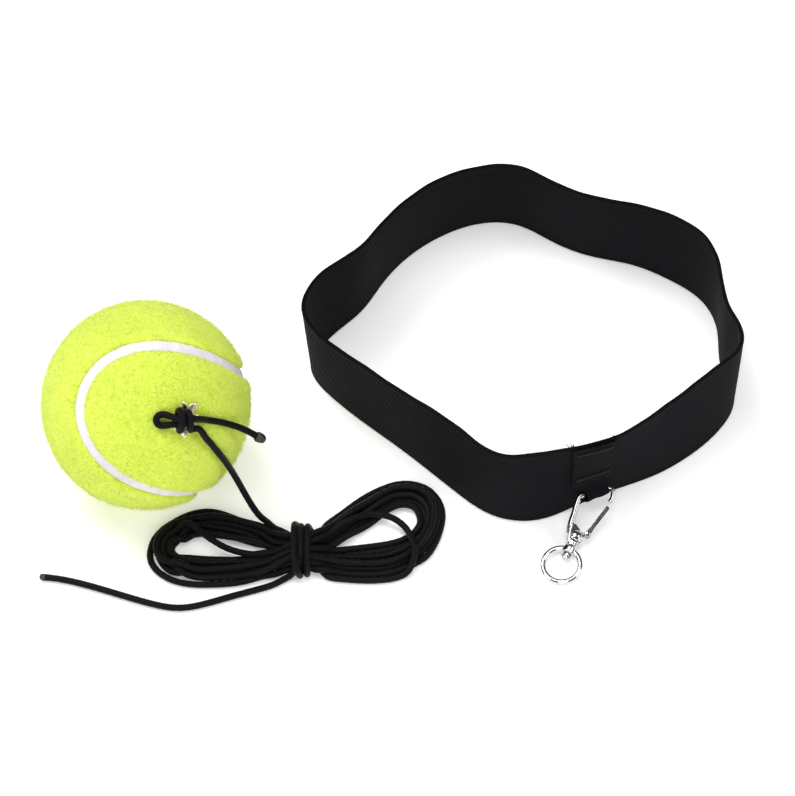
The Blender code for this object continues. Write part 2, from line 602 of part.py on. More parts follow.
def make_panel(name, ball, flip):
    """One felt panel: a curved slab over the core that stops short of the seam on every side."""
    ribs, across = 30, 9
    offset = SEAM_WIDTH / 2 / BALL_RADIUS
    inner_radius = BALL_RADIUS - FELT_THICKNESS + 2 * GAP
    layers = [(BALL_RADIUS, offset + 0.02), (BALL_RADIUS - 0.8 * MM, offset), (inner_radius, offset)]
    points, starts, tips = [], [], []
    for radius, side in layers:
        if radius == layers[1][0]:
            rows, ends = panel_layer(radius, side, flip)
            edge = [rows[i * across] for i in range(ribs - 1)] + [ends[1]]
            edge += [rows[i * across + across - 1] for i in reversed(range(ribs - 1))] + [ends[0]]
            middle_start = len(points)
            points += edge
            continue
        rows, ends = panel_layer(radius, side, flip)
        starts.append(len(points))
        points += rows
        tips.append((len(points), len(points) + 1))
        points += ends
    faces, edges = [], []
    for start, (first_tip, last_tip) in zip(starts, tips):
        faces += [tuple(start + k for k in face) for face in grid_faces(ribs - 1, across)]
        last = start + (ribs - 2) * across
        faces += [(first_tip, start + j + 1, start + j) for j in range(across - 1)]
        faces += [(last_tip, last + j, last + j + 1) for j in range(across - 1)]
        loop = [start + i * across for i in range(ribs - 1)] + [last_tip]
        loop += [start + i * across + across - 1 for i in reversed(range(ribs - 1))] + [first_tip]
        edges.append(loop)
    middle = list(range(middle_start, middle_start + len(edges[0])))
    for upper, lower in ((edges[0], middle), (middle, edges[1])):
        count = len(upper)
        faces += [(upper[k], upper[(k + 1) % count], lower[(k + 1) % count], lower[k]) for k in range(count)]
    felt = material("yellow_felt", (0.62, 0.80, 0.06, 1.0), 0.95)
    return add_mesh(name, points, faces, felt, ball)


def make_seam(ball):
    """The closed strip of rubber cement in the groove between the felt panels."""
    steps = 72
    side = SEAM_WIDTH / 2 / BALL_RADIUS - 1.2 * GAP / BALL_RADIUS
    low, high = BALL_RADIUS - FELT_THICKNESS + GAP, BALL_RADIUS - 1.0 * MM
    points = []
    for k in range(steps):
        angle = 2 * math.pi * k / steps
        for radius, offset in ((low, -side), (high, -side), (high + 0.25 * MM, 0.0), (high, side), (low, side)):
            points.append(beside_seam(angle, offset) * radius)
    white = material("seam_rubber", (0.80, 0.82, 0.78, 1.0), 0.7)
    add_mesh("seam_cement", points, grid_faces(steps, 5, True, True), white, ball)


def make_core(ball):
    """Two rubber half shells, meeting halfway between the cord hole and the far side."""
    rubber = material("core_rubber", (0.09, 0.08, 0.07, 1.0), 0.8)
    outer = BALL_RADIUS - FELT_THICKNESS
    inner = outer - CORE_THICKNESS
    place = facing(EYELET_DIRECTION, Vector())
    turn = ball.matrix_world.to_3x3().inverted().to_4x4() @ place
    hole = EYELET_BARREL_RADIUS + GAP
    for name, start, sign in (("core_front", hole, 1), ("core_back", 0.0, -1)):
        profile = []
        for radius, order in ((outer, 1), (inner, -1)):
            first = math.asin(start / radius)
            last = math.pi / 2 - GAP / 2 / radius
            arc = [first + (last - first) * k / 9 for k in range(10)][::order]
            profile += [(radius * math.sin(a), sign * radius * math.cos(a)) for a in arc]
        turned(name, profile, rubber, 28, ball, turn)


def make_eyelet(ball):
    """The split brass eyelet that lines the cord hole, its petals opened over the felt."""
    brass = material("brass", (0.75, 0.55, 0.25, 1.0), 0.3, 1.0)
    turn = ball.matrix_world.to_3x3().inverted().to_4x4() @ facing(EYELET_DIRECTION, Vector())
    top = BALL_RADIUS + 0.35 * MM
    low = BALL_RADIUS - FELT_THICKNESS - CORE_THICKNESS - 1.2 * MM
    barrel = [(EYELET_BORE_RADIUS, low), (EYELET_BARREL_RADIUS, low), (EYELET_BARREL_RADIUS, top + 0.3 * MM)]
    barrel += [(EYELET_BORE_RADIUS, top + 0.3 * MM)]
    eyelet = turned("cord_eyelet", barrel, brass, 24, ball, turn)
    petals = []
    for k in range(32):
        angle = 2 * math.pi * k / 32
        reach = (EYELET_PETAL_RADIUS, 4.6 * MM, 2.9 * MM, 4.6 * MM)[k % 4]
        petals.append((reach * math.cos(angle), reach * math.sin(angle)))
    star = prism("eyelet_petals", petals, top, top + 0.45 * MM, brass, ball, turn)
    combine(eyelet, star, "UNION")
    through = [(0, low - 2 * MM), (EYELET_BORE_RADIUS, low - 2 * MM), (EYELET_BORE_RADIUS, top + 3 * MM)]
    through += [(0, top + 3 * MM)]
    combine(eyelet, turned("eyelet_bore", through, brass, 24, ball, turn), "DIFFERENCE")
    return turn


def make_ball():
    ball = add_empty("ball_centre", Matrix.Translation(at(*BALL_CENTRE)) @ SEAM_TURN.to_matrix().to_4x4())
    bpy.context.view_layer.update()
    front = make_panel("felt_panel_front", ball, False)
    make_panel("felt_panel_back", ball, True)
    make_seam(ball)
    make_core(ball)
    turn = make_eyelet(ball)
    clearance = EYELET_BARREL_RADIUS + GAP
    hole = [(0, 20 * MM), (clearance, 20 * MM), (clearance, 40 * MM), (0, 40 * MM)]
    felt = material("yellow_felt", (0.62, 0.80, 0.06, 1.0), 0.95)
    combine(front, turned("felt_hole", hole, felt, 24, ball, turn), "DIFFERENCE")
    make_anchor(ball, turn)


def make_anchor(ball, turn):
    """Inside the core: a toggle bar across the hole, and the cord that is tied round it."""
    inner = BALL_RADIUS - FELT_THICKNESS - CORE_THICKNESS
    bar_height = inner - 5.5 * MM
    half, waist = TOGGLE_LENGTH / 2, TOGGLE_RADIUS - 0.6 * MM
    profile = [(0, -half), (TOGGLE_RADIUS - 0.4 * MM, -half), (TOGGLE_RADIUS, -half + 0.4 * MM)]
    profile += [(TOGGLE_RADIUS, -1.8 * MM), (waist, -1.5 * MM), (waist, 1.5 * MM), (TOGGLE_RADIUS, 1.8 * MM)]
    profile += [(TOGGLE_RADIUS, half - 0.4 * MM), (TOGGLE_RADIUS - 0.4 * MM, half), (0, half)]
    across = Matrix.Translation((0, 0, bar_height)) @ Matrix.Rotation(math.pi / 2, 4, "X")
    wood = material("toggle_plastic", (0.05, 0.05, 0.05, 1.0), 0.5)
    turned("anchor_toggle", profile, wood, 16, ball, turn @ across)
    black = material("braided_cord", BLACK_TEXTILE, 0.7)
    steps, sides = 20, 8
    radius = CORD_DIAMETER / 2 - 0.15 * MM
    loop_radius = waist + radius + GAP
    points = []
    for k in range(steps):
        angle = 2 * math.pi * k / steps
        for j in range(sides):
            turn_angle = 2 * math.pi * j / sides
            reach = loop_radius + radius * math.cos(turn_angle)
            height = bar_height + reach * math.cos(angle)
            points.append((reach * math.sin(angle), radius * math.sin(turn_angle), height))
    loop = add_mesh("anchor_loop", points, grid_faces(steps, sides, True, True), black, ball, turn)
    foot, top, stub_radius = bar_height + loop_radius, BALL_RADIUS - 0.2 * MM, 0.92 * radius
    stub = [(0, foot), (stub_radius, foot), (stub_radius, top), (0, top)]
    combine(loop, turned("anchor_stub", stub, black, 12, ball, turn), "UNION")


# ---------------------------------------------------------------- cord


def rounded_block(outline, low, high, name, finish):
    """A hank's outer shape: an outline extruded with rounded rims."""
    return prism(name, outline, low, high, finish, bevel=1.4 * MM)


def tie_outline(length, width):
    """A rectangle round the tie's centre, turned to run across the hank's waist."""
    centre = at(*TIE_CENTRE)
    turn = Matrix.Rotation(TIE_HEADING, 2)
    corners = [(-1, -1), (1, -1), (1, 1), (-1, 1)]
    return [tuple(centre.xy + turn @ Vector((x * length / 2, y * width / 2))) for x, y in corners]


def make_cord():
    black = material("braided_cord", BLACK_TEXTILE, 0.7)
    radius = CORD_DIAMETER / 2
    lead = [at(*p) for p in LEAD_ROUTE]
    tail = [at(*p) for p in TAIL_ROUTE]
    free = [at(*p) for p in FREE_END_ROUTE]
    tube("cord_lead", lead, radius, black, 14)
    tube("cord_tail", tail, radius, black, 8)
    tube("cord_free_end", free, radius, black, 20)
    tube("knot_bight", [at(*p) for p in BIGHT_ROUTE], radius - 0.1 * MM, black, 10)

    knot_centre = at(*BALL_CENTRE) + EYELET_DIRECTION * (BALL_RADIUS + KNOT_HEIGHT)
    knot_place = facing(EYELET_DIRECTION, knot_centre)
    knot = [(0, -2.0 * MM), (1.6 * MM, -1.8 * MM), (2.6 * MM, -0.9 * MM), (2.9 * MM, 0.2 * MM)]
    knot += [(2.3 * MM, 1.4 * MM), (1.2 * MM, 2.1 * MM), (0, 2.3 * MM)]
    turned("cord_knot", knot, black, 16, None, knot_place)

    sealed = material("sealed_end", (0.03, 0.03, 0.034, 1.0), 0.4)
    ends = (("tail_tip", tail, 1.35 * MM, 2.8 * MM), ("free_end_tip", free, 1.0 * MM, 3.0 * MM))
    for name, route, tip_radius, length in ends:
        ahead = (route[-1] - route[-2]).normalized()
        start = route[-1] + ahead * GAP
        profile = [(0, 0), (tip_radius * 0.8, 0), (tip_radius, 0.25 * length), (tip_radius, 0.7 * length)]
        profile += [(tip_radius * 0.6, length), (0, length)]
        turned(name, profile, sealed, 12, None, facing(ahead, start))

    outline = [tuple(p) for p in smooth_curve([at(x, y).xy for x, y in HANK_OUTLINE], 60, closed=True)]
    hank = rounded_block(outline, 0.0, HANK_HEIGHT, "cord_hank", black)
    channel = tie_outline(TIE_LENGTH + 2 * GAP, 40 * MM)
    combine(hank, prism("tie_channel", channel, -1 * MM, 20 * MM, black), "DIFFERENCE")
    core = tie_outline(TIE_LENGTH + 8 * MM, TIE_INSIDE_WIDTH - 2 * GAP)
    floor = CORD_DIAMETER + GAP
    waist = prism("hank_waist", core, floor, floor + TIE_INSIDE_HEIGHT - 2 * GAP, black)
    combine(hank, waist, "UNION")
    band = 2 * CORD_DIAMETER
    tie = rounded_block(
        tie_outline(TIE_LENGTH, TIE_INSIDE_WIDTH + band), 0.0, TIE_INSIDE_HEIGHT + band, "hank_tie", black
    )
    tunnel = tie_outline(TIE_LENGTH + 4 * MM, TIE_INSIDE_WIDTH)
    top = CORD_DIAMETER + TIE_INSIDE_HEIGHT
    combine(tie, prism("tie_tunnel", tunnel, CORD_DIAMETER, top, black), "DIFFERENCE")


def main():
    for existing in list(bpy.data.objects):
        bpy.data.objects.remove(existing)
    strap = Strap()
    make_strap(strap)
    make_tab(strap)
    turn = Matrix.Rotation(HOOK_HEADING, 4, "Z") @ Matrix.Rotation(HOOK_TILT, 4, "X")
    hook = add_empty("crossbar_axis", Matrix.Translation(at(*CROSSBAR_CENTRE)) @ turn)
    bpy.context.view_layer.update()
    make_hook(hook)
    make_gate(hook)
    make_eye(hook)
    make_ball()
    make_cord()


main()
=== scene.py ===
"""Looks of the reflex ball headband: felt ball on a hanked elastic cord, headband with a snap hook.

Metres, +Z up, -Y is the front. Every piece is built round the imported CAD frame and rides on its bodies.
"""

import math
from contextlib import contextmanager

import bmesh
import bpy
import numpy as np
from mathutils import Euler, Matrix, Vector


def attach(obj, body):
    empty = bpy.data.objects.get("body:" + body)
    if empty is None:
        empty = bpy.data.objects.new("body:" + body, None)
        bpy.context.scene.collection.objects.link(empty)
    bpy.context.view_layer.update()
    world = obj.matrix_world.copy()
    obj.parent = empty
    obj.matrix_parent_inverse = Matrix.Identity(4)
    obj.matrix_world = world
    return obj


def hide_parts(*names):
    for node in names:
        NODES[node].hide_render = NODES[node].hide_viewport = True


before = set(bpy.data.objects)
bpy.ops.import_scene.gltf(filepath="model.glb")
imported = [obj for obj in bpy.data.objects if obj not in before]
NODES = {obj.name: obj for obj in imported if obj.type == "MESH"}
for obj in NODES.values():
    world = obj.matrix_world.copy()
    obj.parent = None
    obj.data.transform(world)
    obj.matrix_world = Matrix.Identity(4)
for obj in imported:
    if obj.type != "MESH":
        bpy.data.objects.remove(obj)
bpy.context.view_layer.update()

MM = 0.001
CENTRING = np.array([0.9, 0.0, 0.0])  # mm, added to the places listed below, as in part.py

# ---------------------------------------------------------------- camera

VIEW_ELEVATION = math.radians(57.0)
VIEW_DISTANCE = 1.4
LENS, SENSOR_WIDTH = 196.797, 36.0  # mm


def place_camera():
    data = bpy.data.cameras.new("camera")
    data.sensor_width, data.lens = SENSOR_WIDTH, LENS
    data.clip_start, data.clip_end = 0.05, 10.0
    camera = bpy.data.objects.new("camera", data)
    camera.location = Vector((0.0, -math.cos(VIEW_ELEVATION), math.sin(VIEW_ELEVATION))) * VIEW_DISTANCE
    camera.location.x = CENTRING[0] * MM
    camera.rotation_euler = (math.pi / 2 - VIEW_ELEVATION, 0.0, 0.0)
    bpy.context.scene.collection.objects.link(camera)
    bpy.context.scene.camera = camera


place_camera()
bpy.context.scene.view_settings.view_transform = "Standard"

# ---------------------------------------------------------------- node materials

WEBBING_BLACK = (0.0054, 0.0046, 0.0062)
# The cord's tones from the braid's hollows to its crowns; the darker hollows are painted shade.
CORD_TONES = ((0.0016, 0.0014, 0.0019), (0.0040, 0.0035, 0.0046), (0.0085, 0.0078, 0.0096))
PLATING = (0.64, 0.63, 0.65)
STRAP_RIB, TAB_RIB = 0.92, 1.05  # mm from rib to rib


def fill_ramp(ramp, stops):
    """Sets a colour ramp's stops, each a place and a colour."""
    while len(ramp.elements) < len(stops):
        ramp.elements.new(0.5)
    for element, (place, colour) in zip(ramp.elements, stops):
        element.position = place
        element.color = (*colour, 1.0)


class Finish:
    """A procedural material, built by short calls on its node tree."""

    def __init__(self, name, colour, roughness, metallic=0.0):
        self.material = bpy.data.materials.new(name)
        self.material.use_nodes = True
        self.tree = self.material.node_tree
        self.shader = self.tree.nodes["Principled BSDF"]
        self.set("Base Color", (*colour, 1.0))
        self.set("Roughness", roughness)
        self.set("Metallic", metallic)
        self.heights = []

    def set(self, socket, value):
        self.shader.inputs[socket].default_value = value

    def node(self, kind, inputs=None, **settings):
        made = self.tree.nodes.new(kind)
        for key, value in settings.items():
            setattr(made, key, value)
        for key, value in (inputs or {}).items():
            if isinstance(value, bpy.types.NodeSocket):
                self.tree.links.new(value, made.inputs[key])
            else:
                made.inputs[key].default_value = value
        return made

    def math(self, operation, a, b=0.0, c=0.0):
        return self.node("ShaderNodeMath", {0: a, 1: b, 2: c}, operation=operation).outputs[0]

    def link(self, output, socket):
        self.tree.links.new(output, self.shader.inputs[socket])

    def uv(self):
        """The map's across and along coordinates, in metres or turns."""
        source = self.node("ShaderNodeUVMap", uv_map="UVMap").outputs["UV"]
        split = self.node("ShaderNodeSeparateXYZ", {0: source})
        return split.outputs[0], split.outputs[1]

    def place(self):
        return self.node("ShaderNodeTexCoord").outputs["Object"]

    def noise(self, scale, detail=3.0, roughness=0.55, vector=None, distortion=0.0):
        inputs = {"Vector": vector or self.place(), "Scale": scale, "Detail": detail}
        inputs.update({"Roughness": roughness, "Distortion": distortion})
        return self.node("ShaderNodeTexNoise", inputs).outputs["Fac"]

    def ramp(self, factor, stops):
        made = self.node("ShaderNodeValToRGB", {0: factor})
        fill_ramp(made.color_ramp, stops)
        return made.outputs[0]

    def scaled(self, factor, low, high, from_low=0.0, from_high=1.0):
        inputs = {0: factor, 1: from_low, 2: from_high, 3: low, 4: high}
        return self.node("ShaderNodeMapRange", inputs).outputs[0]

    def mix(self, factor, a, b, blend="MIX"):
        made = self.tree.nodes.new("ShaderNodeMix")
        made.data_type, made.blend_type = "RGBA", blend
        for key, value in ((0, factor), (6, a), (7, b)):
            if isinstance(value, bpy.types.NodeSocket):
                self.tree.links.new(value, made.inputs[key])
            elif key:
                made.inputs[key].default_value = (*value, 1.0)
            else:
                made.inputs[key].default_value = value
        return made.outputs[2]

    def bump(self, height, distance, strength=1.0):
        inputs = {"Height": height, "Distance": distance, "Strength": strength}
        if self.heights:
            inputs["Normal"] = self.heights[-1]
        self.heights.append(self.node("ShaderNodeBump", inputs).outputs[0])
        self.link(self.heights[-1], "Normal")


def cord_finish(name):
    """Braided black cord: lozenge braid over a faintly purple black, painted darker in its hollows as shade,
    with dusty high spots.
    """
    made = Finish(name, (0.012, 0.011, 0.014), 0.6)
    turn, along = made.uv()
    strands = made.math("MULTIPLY", turn, 8 * math.pi)
    pitch = made.math("MULTIPLY", along, math.pi / (1.2 * MM))
    one = made.math("ABSOLUTE", made.math("SINE", made.math("ADD", strands, pitch)))
    two = made.math("ABSOLUTE", made.math("SINE", made.math("SUBTRACT", strands, pitch)))
    braid = made.math("POWER", made.math("MULTIPLY", one, two), 0.6)
    yarn = made.math("SINE", made.math("MULTIPLY_ADD", pitch, 6.0, made.math("MULTIPLY", turn, 40)))
    dust = made.noise(900.0, 4.0)
    # painted shade: the braid's hollows are coloured darker than its crowns
    tone = made.ramp(braid, tuple(zip((0.0, 0.55, 1.0), CORD_TONES)))
    spot = made.ramp(dust, ((0.45, (0.8, 0.8, 0.82)), (0.75, (1.4, 1.35, 1.4))))
    made.link(made.mix(1.0, tone, spot, "MULTIPLY"), "Base Color")
    made.link(made.scaled(braid, 0.55, 0.35), "Roughness")
    made.bump(braid, 0.09 * MM, 0.9)
    made.bump(yarn, 0.015 * MM, 0.5)
    made.set("Sheen Weight", 0.02)
    made.set("Specular IOR Level", 0.08)
    return made.material


def webbing_finish(name, tone, rib, pick):
    """Woven webbing: ribs along the strap, picks across, painted shade in the weave's hollows, and lint; rib
    and pick are their spacings.
    """
    made = Finish(name, tone, 0.8)
    across, along = made.uv()
    ribs = made.math("ABSOLUTE", made.math("SINE", made.math("MULTIPLY", across, math.pi / rib)))
    shifted = made.math("MULTIPLY", made.math("FLOOR", made.math("DIVIDE", across, rib)), math.pi / 2)
    picks = made.math("SINE", made.math("MULTIPLY_ADD", along, 2 * math.pi / pick, shifted))
    weave = made.math("MULTIPLY", made.math("POWER", ribs, 0.7), made.scaled(picks, 0.45, 1.0, -1.0, 1.0))
    lint = made.noise(1400.0, 3.0, 0.7)
    wide = made.noise(60.0, 2.0)
    # painted shade: the weave's hollows take the dark tone and its crowns the light one
    dark = tuple(v * 0.7 for v in tone)
    light = tuple(v * 1.2 for v in tone)
    colour = made.ramp(weave, ((0.0, dark), (0.6, tone), (1.0, light)))
    worn = made.ramp(wide, ((0.3, (0.9, 0.9, 0.92)), (0.7, (1.1, 1.1, 1.12))))
    fleck = made.ramp(lint, ((0.64, (1.0, 1.0, 1.0)), (0.82, (1.7, 1.7, 1.8))))
    made.link(made.mix(1.0, made.mix(1.0, colour, worn, "MULTIPLY"), fleck, "MULTIPLY"), "Base Color")
    made.link(made.scaled(weave, 0.92, 0.62), "Roughness")
    made.bump(weave, 0.035 * MM, 0.6)
    made.bump(lint, 0.02 * MM, 0.5)
    made.set("Specular IOR Level", 0.06)
    return made.material


def thread_finish(name):
    """Black sewing thread with a fine twist, painted darker in its grooves as shade."""
    made = Finish(name, (0.007, 0.006, 0.008), 0.6)
    turn, along = made.uv()
    lay = made.math("MULTIPLY", turn, 4 * math.pi)
    twist = made.math("SINE", made.math("MULTIPLY_ADD", along, 2 * math.pi / (0.5 * MM), lay))
    # painted shade: the twist's grooves darker than its ridges
    dark, light = (0.003, 0.003, 0.004), (0.010, 0.009, 0.012)
    made.link(made.ramp(made.scaled(twist, 0, 1, -1, 1), ((0.0, dark), (1.0, light))), "Base Color")
    made.bump(twist, 0.03 * MM)
    made.set("Specular IOR Level", 0.2)
    return made.material


def metal_finish(name, colour, roughness, scratch=0.35, dark=0.35):
    """Plated metal: mottled gloss, fine scratches, and grime gathered in the grain."""
    made = Finish(name, colour, roughness, 1.0)
    place = made.place()
    cloud = made.noise(220.0, 4.0, 0.6, place)
    streak = made.node("ShaderNodeMapping", {0: place, 3: (900.0, 5200.0, 900.0)}).outputs[0]
    fine = made.noise(1.0, 3.0, 0.6, streak)
    low = tuple(v * (1 - dark * 0.35) for v in colour)
    made.link(made.ramp(cloud, ((0.32, low), (0.6, colour))), "Base Color")
    rough = made.math("MULTIPLY_ADD", made.scaled(fine, 0.0, 1.0, 0.45, 0.8), scratch * 0.4, roughness)
    made.link(made.math("MULTIPLY_ADD", cloud, 0.10, rough), "Roughness")
    made.bump(cloud, 0.035 * MM, 0.35)
    made.bump(fine, 0.006 * MM, 0.5)
    return made.material


def felt_finish(name):
    """Bright yellow-green needle felt: clumped nap, pits painted darker as shade, and pale fibre tips."""
    made = Finish(name, (0.70, 0.87, 0.09), 0.95)
    place = made.place()
    nap = made.noise(1700.0, 4.0, 0.62, place, 0.6)
    clump = made.noise(620.0, 3.0, 0.6, place, 0.4)
    wide = made.noise(45.0, 2.0, 0.5, place)
    both = made.math("MULTIPLY_ADD", nap, 0.8, made.math("MULTIPLY", clump, 0.2))
    # painted shade: the nap's low places, its pits, take the darker tones
    tones = ((0.44, 0.57, 0.030), (0.64, 0.79, 0.070), (0.74, 0.88, 0.105), (0.88, 0.97, 0.26))
    colour = made.ramp(both, tuple(zip((0.32, 0.43, 0.55, 0.68), tones)))
    soil = made.ramp(wide, ((0.35, (0.93, 0.95, 0.90)), (0.65, (1.03, 1.02, 1.02))))
    made.link(made.mix(1.0, colour, soil, "MULTIPLY"), "Base Color")
    made.bump(clump, 0.22 * MM, 0.7)
    made.bump(nap, 0.4 * MM, 0.9)
    made.set("Sheen Weight", 0.2)
    made.set("Sheen Roughness", 0.5)
    made.set("Sheen Tint", (0.93, 1.0, 0.55, 1.0))
    made.set("Specular IOR Level", 0.15)
    return made.material


def fuzz_finish(name):
    """The felt's loose fibres, a little paler than its nap."""
    made = Finish(name, (0.82, 0.97, 0.17), 0.9)
    cloud = made.noise(700.0, 2.0)
    made.link(made.ramp(cloud, ((0.35, (0.66, 0.78, 0.07)), (0.7, (0.88, 0.95, 0.30)))), "Base Color")
    made.set("Sheen Weight", 0.3)
    made.set("Specular IOR Level", 0.1)
    return made.material


def rubber_finish(name, colour, spread, roughness=0.75):
    """Matt rubber or plastic with a fine grain; spread is how much darker its low places are, painted as
    shade.
    """
    made = Finish(name, colour, roughness)
    place = made.place()
    grain = made.noise(1100.0, 5.0, 0.65, place)
    wide = made.noise(160.0, 3.0, 0.6, place)
    # painted shade: the grain's low places darker
    stops = ((0.35, tuple(v * (1 - spread) for v in colour)), (0.6, colour))
    made.link(made.mix(0.45, made.ramp(grain, stops), made.ramp(wide, stops)), "Base Color")
    made.link(made.scaled(grain, roughness - 0.12, roughness + 0.12), "Roughness")
    made.bump(grain, 0.12 * MM, 0.7)
    made.bump(wide, 0.3 * MM, 0.5)
    return made.material


def melted_finish(name):
    """Cord melted to a dark uneven bead."""
    made = Finish(name, (0.016, 0.015, 0.018), 0.3)
    lump = made.noise(900.0, 3.0, 0.6)
    made.link(made.ramp(lump, ((0.35, (0.008, 0.008, 0.010)), (0.7, (0.035, 0.033, 0.037)))), "Base Color")
    made.link(made.scaled(lump, 0.22, 0.5), "Roughness")
    made.bump(lump, 0.1 * MM, 0.8)
    return made.material


FINISHES = {
    slot: build(slot + "_look", *choices)
    for slot, build, *choices in (
        ("elastic_webbing", webbing_finish, WEBBING_BLACK, STRAP_RIB * MM, 1.3 * MM),
        ("tab_webbing", webbing_finish, WEBBING_BLACK, TAB_RIB * MM, 1.1 * MM),
        ("sewing_thread", thread_finish),
        ("hook_metal", metal_finish, PLATING, 0.05),
        ("gate_metal", metal_finish, (0.62, 0.61, 0.63), 0.07),
        ("eye_metal", metal_finish, PLATING, 0.05),
        ("spring_steel", metal_finish, (0.45, 0.45, 0.47), 0.28),
        ("yellow_felt", felt_finish),
        ("seam_rubber", rubber_finish, (0.78, 0.755, 0.79), 0.16),
        ("core_rubber", rubber_finish, (0.06, 0.055, 0.05), 0.4),
        ("eyelet_brass", metal_finish, (0.93, 0.82, 0.58), 0.20, 0.5, 0.4),
        ("toggle_plastic", rubber_finish, (0.75, 0.74, 0.70), 0.1, 0.4),
        ("braided_cord", cord_finish),
        ("sealed_end", melted_finish),
    )
}
FUZZ = fuzz_finish("felt_fuzz_look")


def finish_node(node, slot):
    """Gives a carried-over CAD node its look."""
    target = NODES[node]
    if not target.material_slots:
        target.data.materials.append(FINISHES[slot])
    for place in target.material_slots:
        place.material = FINISHES[slot]


# ---------------------------------------------------------------- mesh helpers


def add_mesh(name, points, faces, slot, body, stands_for=(), uv=None, finish=None):
    """A smooth-shaded piece that rides on a body; uv is one (across, along) pair for each face corner."""
    mesh = bpy.data.meshes.new(name)
    faces = faces.tolist() if isinstance(faces, np.ndarray) else faces
    mesh.from_pydata(np.asarray(points).tolist(), [], faces)
    if uv is not None:
        layer = mesh.uv_layers.new(name="UVMap")
        layer.data.foreach_set("uv", np.asarray(uv, np.float32).ravel())
    mesh.shade_smooth()
    made = bpy.data.objects.new(name, mesh)
    bpy.context.scene.collection.objects.link(made)
    mesh.materials.append(finish or FINISHES[slot])
    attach(made, body)
    if stands_for:
        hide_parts(*stands_for)
    return made


@contextmanager
def opened(made):
    """The piece's mesh, open for changes, which are written back."""
    shape = bmesh.new()
    shape.from_mesh(made.data)
    yield shape
    shape.to_mesh(made.data)
    shape.free()


def outward(made):
    """Turns the piece's faces outward."""
    with opened(made) as shape:
        bmesh.ops.recalc_face_normals(shape, faces=shape.faces)
    return made


def grid_quads(rows, columns, wrap_rows=False, wrap_columns=False):
    """The faces of a grid of points, and the row and the column of each face's four corners."""
    row_count, column_count = rows - (not wrap_rows), columns - (not wrap_columns)
    i, j = np.meshgrid(np.arange(row_count), np.arange(column_count), indexing="ij")
    i2, j2 = (i + 1) % rows, (j + 1) % columns
    quads = np.stack([i * columns + j, i * columns + j2, i2 * columns + j2, i2 * columns + j], axis=-1)
    across = i.reshape(-1, 1) + np.array([0, 0, 1, 1]), j.reshape(-1, 1) + np.array([0, 1, 1, 0])
    return quads.reshape(-1, 4), *across


def unit(ways):
    """The vectors, or the one vector, at length 1."""
    return ways / np.linalg.norm(ways, axis=-1, keepdims=True)


def run_along(points):
    """Each point's distance along the line."""
    return np.concatenate([[0], np.cumsum(np.linalg.norm(np.diff(points, axis=0), axis=1))])


def spline(points, step, closed=False, power=0.5):
    """Evenly spaced points on the cubic spline through the points; knots by chord length to a power."""
    places = np.array(points, float)
    if closed:
        places = np.vstack([places[-3:], places, places[:4]])
    count = len(places)
    knots = np.concatenate([[0], np.cumsum(np.linalg.norm(np.diff(places, axis=0), axis=1) ** power)])
    span = np.diff(knots)[:, None]
    rise = np.diff(places, axis=0) / span
    system, target = np.zeros((count, count)), np.zeros_like(places)
    system[0, :2], target[0] = (2, 1), 3 * rise[0]
    system[-1, -2:], target[-1] = (1, 2), 3 * rise[-1]
    for i in range(1, count - 1):
        system[i, i - 1 : i + 2] = 1 / span[i - 1, 0], 2 / span[i - 1, 0] + 2 / span[i, 0], 1 / span[i, 0]
        target[i] = 3 * (rise[i - 1] / span[i - 1] + rise[i] / span[i])
    slope = np.linalg.solve(system, target)
    start, end = (knots[3], knots[-4]) if closed else (0, knots[-1])
    where = np.linspace(start, end, 60 * count)
    k = np.clip(np.searchsorted(knots, where, side="right") - 1, 0, count - 2)
    u = (where - knots[k])[:, None] / span[k]
    fine = (
        (2 * u**3 - 3 * u**2 + 1) * places[k] + (u**3 - 2 * u**2 + u) * span[k] * slope[k]
        + (3 * u**2 - 2 * u**3) * places[k + 1] + (u**3 - u**2) * span[k] * slope[k + 1]
    )
    return respace(fine, step)


def respace(points, step):
    """The line's places, evenly spaced and about a step apart."""
    along = run_along(points)
    where = np.linspace(0, along[-1], max(2, round(along[-1] / step) + 1))
    return np.stack([np.interp(where, along, points[:, k]) for k in range(points.shape[1])], axis=1)


def carried_frames(path):
    """A side and an up vector at each point of a path, which turn as little as they can."""
    ahead = unit(np.gradient(path, axis=0))
    side = np.empty_like(path)
    upright = np.linalg.norm(ahead[0, :2]) < 1e-3
    side[0] = unit(np.cross(ahead[0], [1.0, 0.0, 0.0] if upright else [0.0, 0.0, 1.0]))
    for i in range(1, len(path)):
        side[i] = unit(side[i - 1] - ahead[i] * (side[i - 1] @ ahead[i]))
    return side, np.cross(ahead, side)


def tube(path, radii):
    """Points, faces and texture places of a closed tube; radii has a row for each ring along the path."""
    rings, sides = radii.shape
    side, up = carried_frames(path)
    turn = 2 * math.pi * np.arange(sides) / sides
    spokes = np.cos(turn)[None, :, None] * side[:, None] + np.sin(turn)[None, :, None] * up[:, None]
    points = (path[:, None] + radii[..., None] * spokes).reshape(-1, 3)
    quads, rows, columns = grid_quads(rings, sides, wrap_columns=True)
    uv = np.stack([columns / sides, run_along(path)[rows]], axis=-1).reshape(-1, 2)
    last = (rings - 1) * sides
    ends = [list(range(sides)), list(range(last, last + sides))[::-1]]
    return points, quads.tolist() + ends, np.vstack([uv, np.zeros((2 * sides, 2))])


# ---------------------------------------------------------------- cords

CORD_DIAMETER = 2.1  # mm, as are all lengths in this section
CORD_RADIUS = CORD_DIAMETER / 2
BALL_CENTRE = np.array([-78.6, -23.7, 32.5]) + CENTRING
BALL_RADIUS = 32.5
EYELET = unit(np.array([0.403, -0.600, 0.692]))  # the way from the ball's centre to its eyelet
